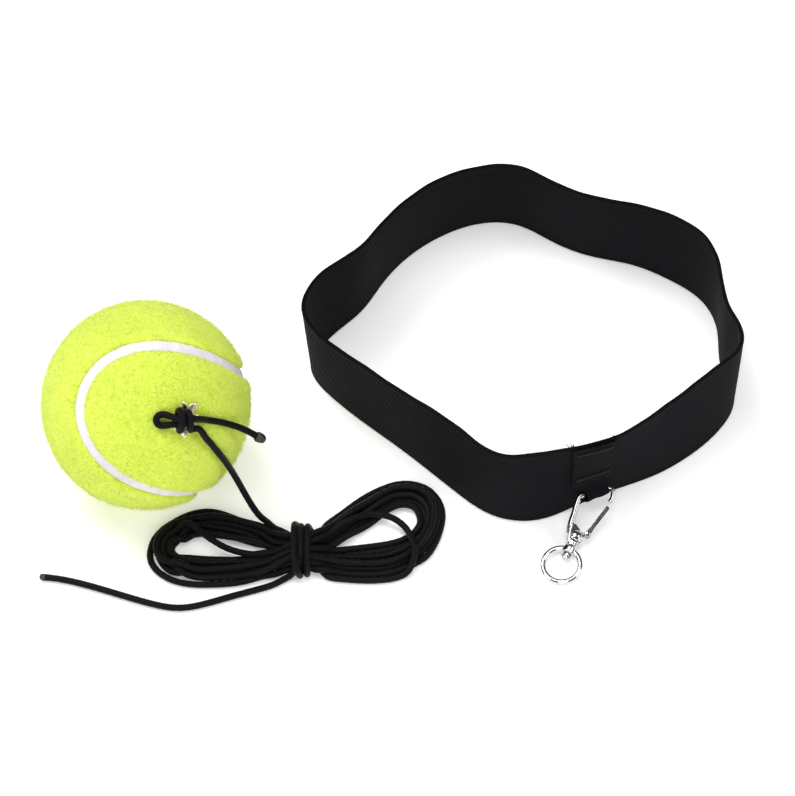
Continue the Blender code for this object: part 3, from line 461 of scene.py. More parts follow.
# Across the knot at the eyelet: the way that the doubled end lies, and the way at right angles to it.
DOUBLED_END = np.array([0.905, 0.224, -0.362])
KNOT_ALONG = unit(DOUBLED_END - (DOUBLED_END @ EYELET) * EYELET)
KNOT_ACROSS = np.cross(EYELET, KNOT_ALONG)
TIE_X, TIE_Y = -30.3, -59.2


def on_ball(t, b, h):
    """A place near the eyelet: t and b along the ball's skin, h over it."""
    way = unit(EYELET + (t / BALL_RADIUS) * KNOT_ALONG + (b / BALL_RADIUS) * KNOT_ACROSS)
    return BALL_CENTRE + (BALL_RADIUS + h) * way


# The cord rises out of the eyelet, goes twice round the doubled end, and leaves as the lead.
KNOT_WRAPS = [
    (-1.3, 0.2, -6.0), (-1.3, 0.3, -2.0), (-2.0, 1.1, 0.9), (-2.4, 2.3, 2.3), (-2.5, 2.6, 4.1),
    (-2.5, 1.9, 6.1), (-2.4, 0.5, 7.0), (-2.3, -1.2, 6.0), (-2.1, -2.5, 4.2), (-1.8, -2.2, 2.3),
    (-1.3, -0.5, 1.1), (-0.8, 1.4, 1.7), (-0.4, 2.6, 3.6), (-0.3, 2.3, 5.6), (-0.3, 0.7, 7.0),
    (0.0, -1.2, 6.0), (0.8, -2.5, 4.4),
]
LEAD = [
    (-61.7, -46.0, 55.2), (-59.6, -46.3, 51.8), (-57.6, -46.6, 47.6), (-55.4, -46.7, 42.4),
    (-53.4, -46.2, 36.5), (-51.9, -45.4, 30.5), (-49.6, -45.9, 23.5), (-46.6, -47.6, 16.0),
    (-43.6, -49.4, 9.6), (-40.4, -50.8, 6.2), (-37.0, -52.2, 5.2),
]
BIGHT = [
    (0.6, -0.6, 3.15), (-1.4, -0.6, 3.15), (-3.4, -0.75, 3.0), (-5.0, -1.3, 2.3), (-6.8, -1.6, 1.6),
    (-8.3, -1.25, 1.3), (-9.0, 0, 1.25), (-8.3, 1.25, 1.35), (-6.8, 1.6, 1.8), (-5.0, 1.3, 2.9),
    (-3.4, 0.8, 4.3), (-1.4, 0.6, 4.95), (1.2, 0.8, 4.8),
]
TAIL = [(-57.2, -41.2, 51.6), (-52.6, -40.0, 48.0), (-46.7, -39.3, 43.0), (-43.4, -39.9, 40.5)]

# Where each strand lies in the tied waist: (across from its middle, height), outer strands first.
UPPER_SLOTS = [(5.7, 3.2), (3.4, 3.15), (1.1, 3.15), (4.6, 4.95), (2.3, 4.95), (0.0, 4.95), (3.9, 6.75)]
LOWER_SLOTS = [(-5.7, 3.2), (-3.4, 3.15), (-1.1, 3.15), (-4.6, 4.95), (-2.3, 4.95), (-1.7, 6.75), (-4.0, 6.6)]
LAST_UPPER = [(-0.2, 6.8), (0.8, 6.8), (1.8, 6.8)]  # left, middle, right of the waist

# The outermost and innermost line of the right and left lobes, and each strand's share of the way between
# them and height. A strand of the left lobe has one share where it enters and one where it leaves.
RIGHT_OUTER = [
    (-25.5, -53.0), (-18.5, -46.4), (-12, -40.7), (-5.5, -36.3), (1.2, -34.0), (8.0, -35.1), (12.0, -39.4),
    (13.1, -46.2), (11.7, -52.6), (8.0, -59.2), (0.6, -64.6), (-9, -66.4), (-18, -65.8), (-25.5, -64.8),
]
RIGHT_INNER = [
    (-25.5, -57.4), (-17.5, -55.6), (-11.4, -52.0), (-7.6, -48.4), (-3.8, -44.2), (0.8, -42.2), (4.9, -43.6),
    (6.6, -47.6), (5.4, -51.3), (2.2, -52.9), (-3, -53.6), (-9, -54.6), (-16, -56.6), (-25.5, -60.0),
]
LEFT_OUTER = [
    (-35.4, -64.8), (-44, -67.0), (-52, -68.6), (-60.5, -69.4), (-68.4, -68.5), (-73.8, -65.7),
    (-77.0, -61.4), (-76.9, -56.6), (-74.4, -51.6), (-69.6, -47.3), (-64.2, -44.6), (-58, -43.9),
    (-51.5, -46.2), (-44, -49.8), (-35.4, -52.8),
]
LEFT_INNER = [
    (-35.4, -60.0), (-46, -60.4), (-54, -60.0), (-60.5, -59.4), (-65.6, -58.7), (-68.6, -57.9),
    (-69.8, -56.2), (-68.8, -54.2), (-66.2, -53.1), (-62, -53.2), (-57, -54.6), (-52, -55.8),
    (-46, -57.0), (-41, -57.7), (-35.4, -58.2),
]
RIGHT_SHARES = [0.0, 0.31, 0.62, 0.15, 0.46, 0.82, 0.20]
RIGHT_HEIGHTS = [1.1, 1.1, 1.1, 2.9, 2.9, 2.7, 4.3]
LEFT_SHARES = [(-0.12, 0.0), (0.46, 0.70), (0.84, 0.52), (0.22, 0.36), (0.60, 0.80), (0.36, 0.16)]
LEFT_HEIGHTS = [1.1, 1.1, 2.3, 2.9, 2.8, 4.3]
# The last strand crosses the left lobe, runs over the waist, lies alone across the right lobe and comes
# back to the tie.
CROSSING = [
    (-42.0, -65.6, 4.6), (-50.0, -67.0, 3.4), (-61.0, -67.4, 3.0), (-67.5, -66.2, 3.1), (-72.0, -62.6, 3.1),
    (-73.6, -57.6, 3.2), (-72.0, -52.8, 3.8), (-68.4, -50.2, 4.6), (-64.6, -50.9, 5.0), (-60.7, -53.7, 5.3),
    (-56.9, -56.7, 5.4), (-53.1, -59.0, 5.4), (-48.1, -60.6, 5.4), (-41.8, -61.3, 6.0),
]
OVER = [
    (-20.6, -52.6, 6.4), (-15.6, -49.2, 5.8), (-12.0, -47.0, 5.4), (-6.5, -46.1, 5.2), (-0.8, -47.8, 5.1),
    (3.5, -52.3, 5.0), (5.5, -58.6, 4.7), (4.3, -64.2, 3.6), (1.0, -67.4, 2.0), (-4.6, -68.6, 1.15),
    (-11.7, -68.6, 1.1), (-18.0, -67.8, 1.1), (-22.5, -64.9, 1.05), (-24.4, -62.0, 1.1), (-25.0, -57.6, 1.1),
    (-25.8, -53.4, 1.3),
]
FREE_END = [
    (-34.4, -67.6, 1.9), (-38.2, -70.0, 1.15), (-45.5, -72.6, 1.1), (-54.0, -75.3, 1.1), (-62.8, -78.0, 1.1),
    (-69.0, -78.7, 1.1), (-76.0, -77.4, 1.1), (-86.5, -74.0, 1.1), (-96.0, -70.8, 1.1), (-105.4, -68.3, 1.1),
    (-111.4, -67.5, 1.1),
]
WRAP_HALF_WIDTH, WRAP_HALF_HEIGHT, WRAP_MIDDLE = 7.9, 4.1, 5.15
WRAPS = [TIE_X + 2.05, TIE_X, TIE_X - 2.05]  # x of the right, middle and left wrap of the tie
# The cord goes from one wrap to another: (from, to, [(degrees round it, share of the way over, growth)]).
TIE_RUNS = [
    (0, 2, [(turn, 0.0, 0.0) for turn in range(0, 271, 30)] + [
        (298, 0.1, 0.4), (322, 0.35, 1.5), (342, 0.7, 1.7), (4, 0.95, 0.8), (30, 1.0, 0.3),
    ]),
    (2, 1, [
        (60, 0.0, 0.2), (90, 0.0, 0.4), (115, 0.0, 0.9), (140, 0.25, 1.6), (165, 0.55, 1.7), (190, 0.85, 1.0),
        (215, 1.0, 0.3), (245, 1.0, 0.0),
    ]),
    (1, 2, [(turn, 0.0, 0.0) for turn in (275, 305, 335, 0, 30, 60, 90)] + [
        (115, 0.0, -0.1), (140, 0.3, -0.3), (165, 0.65, -0.3), (190, 1.0, -0.2),
    ]),
]


def strand(outer, inner, share_in, share_out, height):
    """One strand of a lobe, rising towards the waist at both its ends."""
    outer, inner = np.array(outer, float), np.array(inner, float)
    count = len(outer)
    share = np.linspace(share_in, share_out, count)[:, None]
    flat = outer * (1 - share) + inner * share
    ends = np.minimum(np.arange(count), np.arange(count)[::-1]) / (count - 1)
    lift = np.clip(1 - ends * 6.0, 0, None) * 1.8
    return [(x, y, height + up) for (x, y), up in zip(flat[1:-1], lift[1:-1])]


def waist(places):
    """A strand's three places through the waist, in the order it passes them."""
    return [(x, TIE_Y + y, z) for x, (y, z) in places]


def wrap_place(x, degrees, grow):
    """A place on the flattened ring of one wrap: 0 is at the back, 90 on top, 180 in front."""
    c, s = math.cos(math.radians(degrees)), math.sin(math.radians(degrees))
    y = TIE_Y + (WRAP_HALF_WIDTH + grow) * math.copysign(abs(c) ** 0.72, c)
    return (x, y, WRAP_MIDDLE + (WRAP_HALF_HEIGHT + grow) * math.copysign(abs(s) ** 0.72, s))


def main_route():
    """Places listed along the long cord, and how many of them belong to the knot and the lead."""
    knot = [on_ball(*place) for place in KNOT_WRAPS] + [np.array(place) + CENTRING for place in LEAD]
    left, middle, right = TIE_X - 3.7, TIE_X, TIE_X + 3.7
    rest = []
    for k, (upper, lower) in enumerate(zip(UPPER_SLOTS, LOWER_SLOTS)):
        rest += waist([(x, upper) for x in (left, middle, right)])
        rest += strand(RIGHT_OUTER, RIGHT_INNER, RIGHT_SHARES[k], RIGHT_SHARES[k], RIGHT_HEIGHTS[k])
        rest += waist([(x, lower) for x in (right, middle, left)])
        if k < len(LEFT_SHARES):
            rest += strand(LEFT_OUTER, LEFT_INNER, *LEFT_SHARES[k], LEFT_HEIGHTS[k])
    rest += CROSSING
    rest += waist(list(zip((left, middle, right), LAST_UPPER))) + OVER
    for start, end, places in TIE_RUNS:
        x, over = WRAPS[start], WRAPS[end] - WRAPS[start]
        rest += [wrap_place(x + over * share, turn, grow) for turn, share, grow in places]
    rest += FREE_END
    return np.array(knot + [np.array(place) + CENTRING for place in rest]), len(knot)


SKIN = 0.02  # mm kept between the cord and what it touches
LOOK_AHEAD = 1.6  # mm beyond touching at which two stretches of cord are watched
FALL = 0.02  # mm a round
STIFFNESS = 0.22


def middle_bend(path, inner):
    """How far the middle between each point's neighbours is from it, at the points that have two."""
    bend = np.zeros_like(path)
    bend[1:-1] = (path[:-2] + path[2:]) / 2 - path[1:-1]
    bend[~inner] = 0
    return bend


def settle(path, mobile, pull, joined, step, rounds):
    """Lays the cord down: it keeps its length, resists bending, and rests on itself, the table and ball."""
    path, start = path.copy(), path.copy()
    mobile = mobile.astype(float)[:, None]
    inner = np.zeros(len(path), bool)
    inner[1:-1] = joined[:-1] & joined[1:]
    apart = CORD_DIAMETER + SKIN
    clearance = BALL_RADIUS + CORD_RADIUS
    for turn in range(rounds):
        if turn % 8 == 0:
            squares = (path * path).sum(1)
            gaps = squares[:, None] + squares[None] - 2 * path @ path.T
            near, far = np.nonzero(np.triu(gaps < (apart + LOOK_AHEAD) ** 2, 4))
        path[:, 2] -= FALL * mobile[:, 0]
        path += (start - path) * pull[:, None] * mobile
        path -= STIFFNESS * middle_bend(middle_bend(path, inner), inner) * mobile
        for _ in range(2):
            for parity in (0, 1):
                a = np.arange(parity, len(path) - 1, 2)
                a = a[joined[a]]
                b = a + 1
                between = path[b] - path[a]
                size = np.linalg.norm(between, axis=1)[:, None]
                move = between * ((size - step) / np.maximum(size, 1e-9))
                total = np.maximum(mobile[a] + mobile[b], 1)
                path[a] += move * mobile[a] / total
                path[b] -= move * mobile[b] / total
        for _ in range(2):
            between = path[far] - path[near]
            size = np.sqrt((between * between).sum(1))
            touching = size < apart
            a, b = near[touching], far[touching]
            short = 0.4 * (apart - size[touching]) / np.maximum(size[touching], 1e-6)
            push = between[touching] * short[:, None]
            moved, times = np.zeros_like(path), np.zeros((len(path), 1))
            for end, way in ((a, -push), (b, push)):
                np.add.at(moved, end, way)
                np.add.at(times, end, 1)
            path += moved / np.maximum(times, 1) * 1.5 * mobile
            low = np.maximum(path[:, 2], CORD_RADIUS + SKIN)
            path[:, 2] = np.where(mobile[:, 0] > 0, low, path[:, 2])
            off = path - BALL_CENTRE
            reach = np.linalg.norm(off, axis=1)
            inside = (reach < clearance) & (mobile[:, 0] > 0)
            path[inside] += off[inside] * ((clearance - reach[inside]) / reach[inside])[:, None]
    return path


FIXED = 9  # points of the cord that stay in the eyelet
NECK = 22  # points of the lead's end that may slide where it enters the tie
CLOSING = 95  # points of the free end, which keep close to their route


def lay_cords():
    """The long cord and the short doubled end, settled together. Returns both centrelines in mm."""
    route, knot_count = main_route()
    long_one = spline(route, 1.0)
    loop = [on_ball(*place) for place in BIGHT]
    short_one = spline(loop + [np.array(place) + CENTRING for place in TAIL], 1.0)
    path = np.vstack([long_one, short_one])
    count = len(long_one)
    joined = np.ones(len(path) - 1, bool)
    joined[count - 1] = False
    step = np.linalg.norm(np.diff(long_one, axis=0), axis=1).mean()
    lead_end = int(np.argmin(np.linalg.norm(long_one - route[knot_count - 1], axis=1)))
    knot_end = int(np.argmin(np.linalg.norm(long_one[:lead_end] - route[len(KNOT_WRAPS)], axis=1)))
    number = np.arange(len(path))
    mobile = number >= FIXED
    from_tie = np.abs(path[:, 0] - CENTRING[0] - TIE_X)
    hanked = (number >= lead_end - NECK) & (number < count)
    pull = np.full(len(path), 0.03)  # how strongly each point is drawn back to its route
    pull[:knot_end] = 0.25
    pull[knot_end : lead_end - NECK] = 0.3
    pull[hanked & (from_tie > 4.4) & (from_tie < 12.0)] = 0.006
    pull[(number < count) & (from_tie < 4.8) & (np.abs(path[:, 1] - TIE_Y) < 9.5)] = 0.14
    pull[count - CLOSING : count] = 0.12
    pull[count:] = 0.4
    path = settle(path, mobile, pull, joined, step, 400)
    for _ in range(3):  # takes out the last small kinks
        inner = (path[:-2] + 2 * path[1:-1] + path[2:]) / 4
        path[1:-1] = np.where((joined[:-1] & joined[1:] & mobile[1:-1])[:, None], inner, path[1:-1])
    path = settle(path, mobile, np.full(len(path), 0.01), joined, step, 48)
    return path[:count], path[count:]


def braid_tube(name, path, stands_for, sides=16, end_flare=0.0):
    """A cord as a mesh tube along a centreline in mm; its skin carries the braid's lozenges."""
    path = spline(path[::2] if len(path) > 40 else path, 0.6) * MM
    along = run_along(path)
    radii = np.full((len(path), sides), CORD_RADIUS * MM)
    sign = np.where(np.arange(sides) % 2, -1.0, 1.0)
    radii += 0.035 * MM * sign[None] * np.cos(2 * math.pi * along / (2.4 * MM))[:, None]
    radii *= 1 + 0.012 * np.sin(along / (7.3 * MM))[:, None]
    if end_flare:
        radii *= 1 + end_flare * np.exp(-(along[-1] - along) / (1.2 * MM))[:, None]
    points, faces, uv = tube(path, radii)
    made = outward(add_mesh(name, points, faces, "braided_cord", "ball_and_cord", stands_for, uv))
    return made, path, along[-1]


def melted_tip(name, path, radius, length, stands_for, seed):
    """The cord's end, melted to a lumpy bead."""
    ahead = unit(path[-1] - path[-4])
    phase = np.random.default_rng(seed).uniform(0, 6.28, 3)
    s = np.linspace(0, 1, 22)[:, None]
    turn = 2 * math.pi * np.arange(28)[None] / 28
    swell = 0.80 + 0.20 * np.sin(np.minimum(s / 0.35, 1.0) * math.pi / 2)
    profile = radius * swell * np.sqrt(np.maximum(1 - s**3.2, 0.0006))
    lump = 1 + 0.06 * np.sin(2 * turn + phase[0] + 3 * s) + 0.05 * np.sin(3 * turn + phase[1] - 5 * s)
    lump += 0.03 * np.sin(5 * turn + phase[2] + 9 * s)
    points, faces, _ = tube(path[-1] + ahead * (length * s - 0.35 * MM), profile * lump)
    return outward(add_mesh(name, points, faces, "sealed_end", "ball_and_cord", stands_for))


LONG_CORD, SHORT_CORD = lay_cords()
cord, cord_path, cord_length = braid_tube(
    "cord", LONG_CORD, ("cord_lead", "cord_hank", "hank_tie", "cord_free_end", "cord_knot"), end_flare=0.06,
)
short_cord, short_path, short_length = braid_tube("cord_doubled_end", SHORT_CORD, ("knot_bight", "cord_tail"))
free_tip = melted_tip("free_end_seal", cord_path, 1.12 * MM, 2.1 * MM, ("free_end_tip",), 3)
tail_seal = melted_tip("tail_seal", short_path, 1.75 * MM, 3.4 * MM, ("tail_tip",), 8)

# ---------------------------------------------------------------- ball

BALL_PLACE = BALL_CENTRE * MM
SEAM_TURN = np.array(Euler((math.radians(64.8), math.radians(-174.4), math.radians(87.2))).to_matrix())
SEAM_WAVE = 0.202
SEAM_HALF = 2.05 / BALL_RADIUS  # half the seam's width, as an angle on the ball
SEAM_SAMPLES = 3000


def seam_points():
    """Unit vectors along the ball's seam, and the sideways direction at each towards the front panel."""
    angle = 2 * math.pi * np.arange(SEAM_SAMPLES) / SEAM_SAMPLES
    main, wave = 1 - SEAM_WAVE, SEAM_WAVE
    own = np.stack(
        [
            main * np.cos(angle) + wave * np.cos(3 * angle), main * np.sin(angle) - wave * np.sin(3 * angle),
            2 * math.sqrt(main * wave) * np.sin(2 * angle),
        ], axis=1,
    )
    line = own @ SEAM_TURN.T
    ahead = np.roll(line, -1, axis=0) - np.roll(line, 1, axis=0)
    return line, unit(np.cross(line, ahead))


SEAM_LINE, SEAM_SIDE = seam_points()


def beside_seam(ways):
    """Each unit vector's signed angle from the seam, and the index of its nearest seam point."""
    near = np.empty(len(ways), int)
    for first in range(0, len(ways), 4000):
        part = ways[first : first + 4000]
        near[first : first + 4000] = np.argmax(part @ SEAM_LINE.T, axis=1)
    away = ways - SEAM_LINE[near] * np.sum(ways * SEAM_LINE[near], axis=1)[:, None]
    return np.arcsin(np.clip(np.sum(away * SEAM_SIDE[near], axis=1), -1, 1)), near


def soft_noise(ways, scale, seed, terms=28):
    """Smooth bumps over the sphere: a sum of plane waves in seeded directions, about -1 to 1."""
    draw = np.random.default_rng(seed)
    total = np.zeros(len(ways))
    for _ in range(terms):
        way = draw.normal(size=3)
        way *= scale * draw.uniform(0.6, 1.5) / np.linalg.norm(way)
        total += np.sin(ways @ way + draw.uniform(0, 6.28))
    return total / math.sqrt(terms)


def icosphere(levels):
    """Unit vectors all over the sphere, and the triangles between them."""
    shape = bmesh.new()
    bmesh.ops.create_icosphere(shape, subdivisions=levels, radius=1.0)
    ways = np.array([vertex.co[:] for vertex in shape.verts])
    faces = np.array([[vertex.index for vertex in face.verts] for face in shape.faces])
    shape.free()
    return unit(ways), faces


def from_eyelet(ways):
    """Each unit vector's distance from the eyelet along the ball's skin, in mm."""
    return np.arccos(np.clip(ways @ EYELET, -1, 1)) * BALL_RADIUS


def felt_height(ways, gap):
    """The felt's height over its nominal skin in mm; gap is the distance in mm from the panel's edge."""
    roll = -0.80 * np.exp(-gap / 0.6) + 0.30 * np.exp(-((gap - 2.6) / 1.9) ** 2)
    eyelet = from_eyelet(ways)
    dent = -0.75 * np.exp(-((eyelet / 5.2) ** 2)) - 0.35 * np.exp(-((eyelet / 12.0) ** 2))
    nap = 0.03 * soft_noise(ways, 95.0, 11) + 0.05 * soft_noise(ways, 200.0, 12)
    return roll + dent + nap + 0.06 * soft_noise(ways, 9.0, 13, 12)


def felt_panel(name, ways, faces, distance, near, sign, stands_for):
    """One felt panel: its skin out to the seam's edge, then a wall down into the groove."""
    reach = distance * sign
    kept = reach > -0.35 * SEAM_HALF
    hole = from_eyelet(ways) < 2.6
    chosen = faces[kept[faces].all(axis=1) & ~hole[faces].any(axis=1)]
    used = np.unique(chosen)
    number = np.full(len(ways), -1)
    number[used] = np.arange(len(used))
    way, far, close = ways[used], reach[used], near[used]
    ragged = SEAM_HALF * (1 + 0.09 * soft_noise(SEAM_LINE[close], 70.0, 21 + int(sign)))
    over = far < ragged
    edge = np.cos(ragged)[:, None] * SEAM_LINE[close] + (sign * np.sin(ragged))[:, None] * SEAM_SIDE[close]
    place = unit(np.where(over[:, None], edge, way))
    gap = np.maximum(far - ragged, 0) * BALL_RADIUS
    depth = np.where(over, np.minimum((ragged - far) / ragged * 2.4, 2.4), 0.0)
    radius = BALL_RADIUS + felt_height(place, gap) - depth
    points = BALL_PLACE + place * radius[:, None] * MM
    return add_mesh(name, points, number[chosen], "yellow_felt", "ball_and_cord", stands_for)


# A fibre's faces: three corners at its root, three at its bend, and its tip.
FIBRE = np.array([
    (0, 1, 4), (0, 4, 3), (1, 2, 5), (1, 5, 4), (2, 0, 3), (2, 3, 5), (3, 4, 6), (4, 5, 6), (5, 3, 6),
])


def fuzz(name, count, length, seed):
    """Loose fibres standing off the felt, each a thin bent three-sided spike."""
    draw = np.random.default_rng(seed)
    ways = unit(draw.normal(size=(count * 2, 3)))
    distance, _ = beside_seam(ways)
    ways = ways[(np.abs(distance) > SEAM_HALF * 0.98) & (from_eyelet(ways) > 5.0)][:count]
    gap = (np.abs(beside_seam(ways)[0]) - SEAM_HALF) * BALL_RADIUS
    skin = BALL_RADIUS + felt_height(ways, np.maximum(gap, 0)) - 0.12
    lean = unit(np.cross(ways, draw.normal(size=ways.shape)))
    rise = draw.uniform(0.2, 0.9, len(ways))[:, None]
    first = unit(lean * (1 - rise) + ways * rise)
    swing, droop = draw.uniform(-1, 1, (len(ways), 1)), draw.uniform(0, 1, (len(ways), 1))
    second = unit(first + 0.9 * swing * np.cross(first, ways) - 0.45 * ways * droop)
    size = draw.uniform(0.55, 1.0, len(ways))[:, None] * length
    base = ways * skin[:, None]
    middle = base + first * size * 0.55
    tip = middle + second * size * 0.45
    clear = np.minimum(middle[:, 2], tip[:, 2]) + BALL_CENTRE[2] > 0.15
    base, middle, tip, first, lean, ways = (part[clear] for part in (base, middle, tip, first, lean, ways))
    side = np.cross(first, lean + 0.3 * ways)
    side /= np.linalg.norm(side, axis=1)[:, None] + 1e-9
    thick = draw.uniform(0.04, 0.08, len(ways))[:, None]
    other = np.cross(side, first)
    corners = []
    for level, width in ((base, thick), (middle, thick * 0.75)):
        for turn in (0.0, 2.094, 4.189):
            corners.append(level + (side * math.cos(turn) + other * math.sin(turn)) * width)
    corners.append(tip)
    points = np.stack(corners, axis=1).reshape(-1, 3) * MM + BALL_PLACE
    faces = (np.arange(len(ways))[:, None, None] * len(corners) + FIBRE[None]).reshape(-1, 3)
    return add_mesh(name, points, faces, "yellow_felt", "ball_and_cord", finish=FUZZ)


def seam_strip():
    """The rubber cement in the groove: a strip with a low crown, uneven where it was spread by hand."""
    rows = SEAM_SAMPLES // 2
    line, side = SEAM_LINE[::2], SEAM_SIDE[::2]
    points = []
    for share in np.linspace(-1.0, 1.0, 11):
        angle = share * SEAM_HALF * 1.05
        way = np.cos(angle) * line + np.sin(angle) * side
        height = -0.85 - 0.30 * share**4 + 0.05 * soft_noise(way, 60.0, 31)
        height += 0.035 * soft_noise(way, 170.0, 32) - 0.3 * np.exp(-((from_eyelet(way) / 12.0) ** 2))
        points.append(BALL_PLACE + way * (BALL_RADIUS + height)[:, None] * MM)
    for share in (1.0, -1.0):
        angle = share * SEAM_HALF * 0.9
        way = np.cos(angle) * line + np.sin(angle) * side
        points.append(BALL_PLACE + way * (BALL_RADIUS - 2.6) * MM)
    grid = np.stack(points, axis=1).reshape(-1, 3)
    quads, _, _ = grid_quads(rows, len(points), wrap_rows=True, wrap_columns=True)
    return outward(add_mesh("seam_strip", grid, quads, "seam_rubber", "ball_and_cord", ("seam_cement",)))


def make_ball():
    """The felt panels with their loose fibres, the seam between them, and the looks of what is inside."""
    ways, faces = icosphere(7)
    distance, near = beside_seam(ways)
    felt_panel("felt_front", ways, faces, distance, near, 1.0, ("felt_panel_front",))
    felt_panel("felt_back", ways, faces, distance, near, -1.0, ("felt_panel_back",))
    fuzz("felt_fuzz_short", 28000, 1.0, 41)
    fuzz("felt_fuzz_long", 13000, 1.8, 42)
    seam_strip()
    for node, slot in (
        ("core_front", "core_rubber"), ("core_back", "core_rubber"), ("anchor_toggle", "toggle_plastic"),
        ("anchor_loop", "braided_cord"),
    ):
        finish_node(node, slot)


make_ball()


PETALS = 8
BARREL, BORE, ROOT = 1.72, 1.45, 1.98  # mm: the eyelet's outer and inner radius, and where its petals start
METAL = 0.28  # the brass sheet's thickness, mm


def petal_place(share, over, lift, tip):
    """(height, reach) of a place on a petal, a share of the way to its tip."""
    return 0.15 + over + lift * share**1.6 - 0.18 * share * share, ROOT + (tip - ROOT) * share


def make_eyelet():
    """The brass eyelet: a barrel through the felt and core, split and folded out into pointed petals."""
    side = unit(np.cross(EYELET, [0.0, 0.0, 1.0]))
    up = np.cross(EYELET, side)
    steps = 128
    draw = np.random.default_rng(51)
    spread = 2 * math.pi * (np.arange(PETALS) + 0.5) / PETALS
    pointing = np.cos(spread)[:, None] * side + np.sin(spread)[:, None] * up
    seen = 0.55 * pointing @ KNOT_ALONG + 0.85 * np.abs(pointing @ KNOT_ACROSS)  # 1 where the knot leaves room
    tips = 3.3 + 3.2 * np.clip(seen, 0.0, 1.0) + draw.uniform(-0.3, 0.3, PETALS)
    lifts = draw.uniform(0.4, 1.3, PETALS)
    points = []
    for k in range(steps):
        turn = 2 * math.pi * k / steps
        petal = int(k / steps * PETALS)
        within = abs(k / steps * PETALS - petal - 0.5) * 2  # 0 at the petal's middle, 1 at a split
        lift, tip = lifts[petal], 2.6 + (tips[petal] - 2.6) * (1 - within) ** 0.6
        ring = [(-7.2, BARREL), (-3.0, BARREL), (-0.6, 1.74), (-0.15, 1.8), (0.08, ROOT)]
        ring += [petal_place(share, 0.0, lift, tip) for share in (0.25, 0.5, 0.75, 1.0)]
        ring += [petal_place(share, METAL, lift, tip) for share in (0.97, 0.72, 0.47, 0.2)]
        ring += [(0.36, 1.75), (0.15, 1.52), (-0.5, BORE), (-7.2, BORE)]
        way = math.cos(turn) * side + math.sin(turn) * up
        points += [EYELET * (BALL_RADIUS - 0.35 + height) + way * reach for height, reach in ring]
    quads, _, _ = grid_quads(steps, len(ring), wrap_rows=True, wrap_columns=True)
    grid = np.array(points) * MM + BALL_PLACE
    return outward(add_mesh("brass_eyelet", grid, quads, "eyelet_brass", "ball_and_cord", ("cord_eyelet",)))


make_eyelet()

# ---------------------------------------------------------------- headband

STRAP_WIDTH, STRAP_THICKNESS = 35.5, 1.4  # mm, as are the stations: (x, y) of the lower edge, and lean
STRAP_STATIONS = [
    (-28, 11, 2.5), (-22.5, 24, 2.2), (-13, 34, 0.5), (-6, 45, -0.8), (3, 56, -1.5),
    (13.5, 64.2, -1.8), (26, 69.4, -2.5), (39.5, 69, -2.0), (51.5, 62.3, -1.7), (64, 56.5, -1.5),
    (77, 53, -1.2), (89.5, 47, 0.0), (100, 38.6, -0.5), (105, 26, -1.8), (105.6, 12.5, -0.2),
    (108.4, -0.8, 1.0), (102.7, -13, -2.5), (93, -22.5, -3.0), (81.5, -30, -1.2), (69, -35, 2.0),
    (56.8, -40.9, 0.5), (44, -46.5, -2.5), (30.6, -44.8, -0.8), (19.6, -37, -1.2), (9.5, -27.8, -0.5),
    (-0.6, -18.5, 1.0), (-11, -9.6, 1.3), (-21, -0.4, 2.3),
]


class Strap:
    """The strap's outer face: upright lines between its lower and upper edges, about 1 mm apart."""

    def __init__(self):
        stations = np.array(STRAP_STATIONS, float) + np.array([*CENTRING[:2], 0.0])
        curve = spline(stations, 1.0, closed=True, power=1.0)[:-1]
        self.low = np.column_stack([curve[:, :2], np.zeros(len(curve))])
        along = unit(np.roll(self.low, -1, axis=0) - np.roll(self.low, 1, axis=0))
        self.outward = np.column_stack([-along[:, 1], along[:, 0], np.zeros(len(curve))])
        if np.sum((self.low - self.low.mean(axis=0)) * self.outward) < 0:
            self.outward = -self.outward
        lean = curve[:, 2:3]
        rise = np.sqrt(STRAP_WIDTH**2 - lean**2)
        self.high = self.low + lean * self.outward + rise * np.array([[0.0, 0.0, 1.0]])
        self.along = run_along(np.vstack([self.low, self.low[:1]]))

    def place(self, along, share, off):
        """Places at distances along the strap, shares of its width up, and off its outer face (mm)."""
        along, share, off = np.broadcast_arrays(np.asarray(along, float), share, off)
        where = along % self.along[-1]
        k = np.clip(np.searchsorted(self.along, where, side="right") - 1, 0, len(self.low) - 1)
        part = ((where - self.along[k]) / (self.along[k + 1] - self.along[k]))[..., None]
        after = (k + 1) % len(self.low)
        low = self.low[k] * (1 - part) + self.low[after] * part
        high = self.high[k] * (1 - part) + self.high[after] * part
        out = unit(self.outward[k] * (1 - part) + self.outward[after] * part)
        share, off = share[..., None], off[..., None]
        return low * (1 - share) + high * share + out * off

    def nearest(self, place):
        tries = np.linspace(0, self.along[-1], 4000)
        gaps = np.linalg.norm((self.place(tries, 0.0, 0.0) - place)[:, :2], axis=1)
        return float(tries[np.argmin(gaps)])


STRAP = Strap()


def edge_rounding(edge, radius):
    """How far a cloth's face falls back at a distance from its edge, which is rounded."""
    fall = radius - np.sqrt(np.maximum(radius**2 - (radius - edge) ** 2, 0))
    return np.where(edge < radius, fall, 0.0)


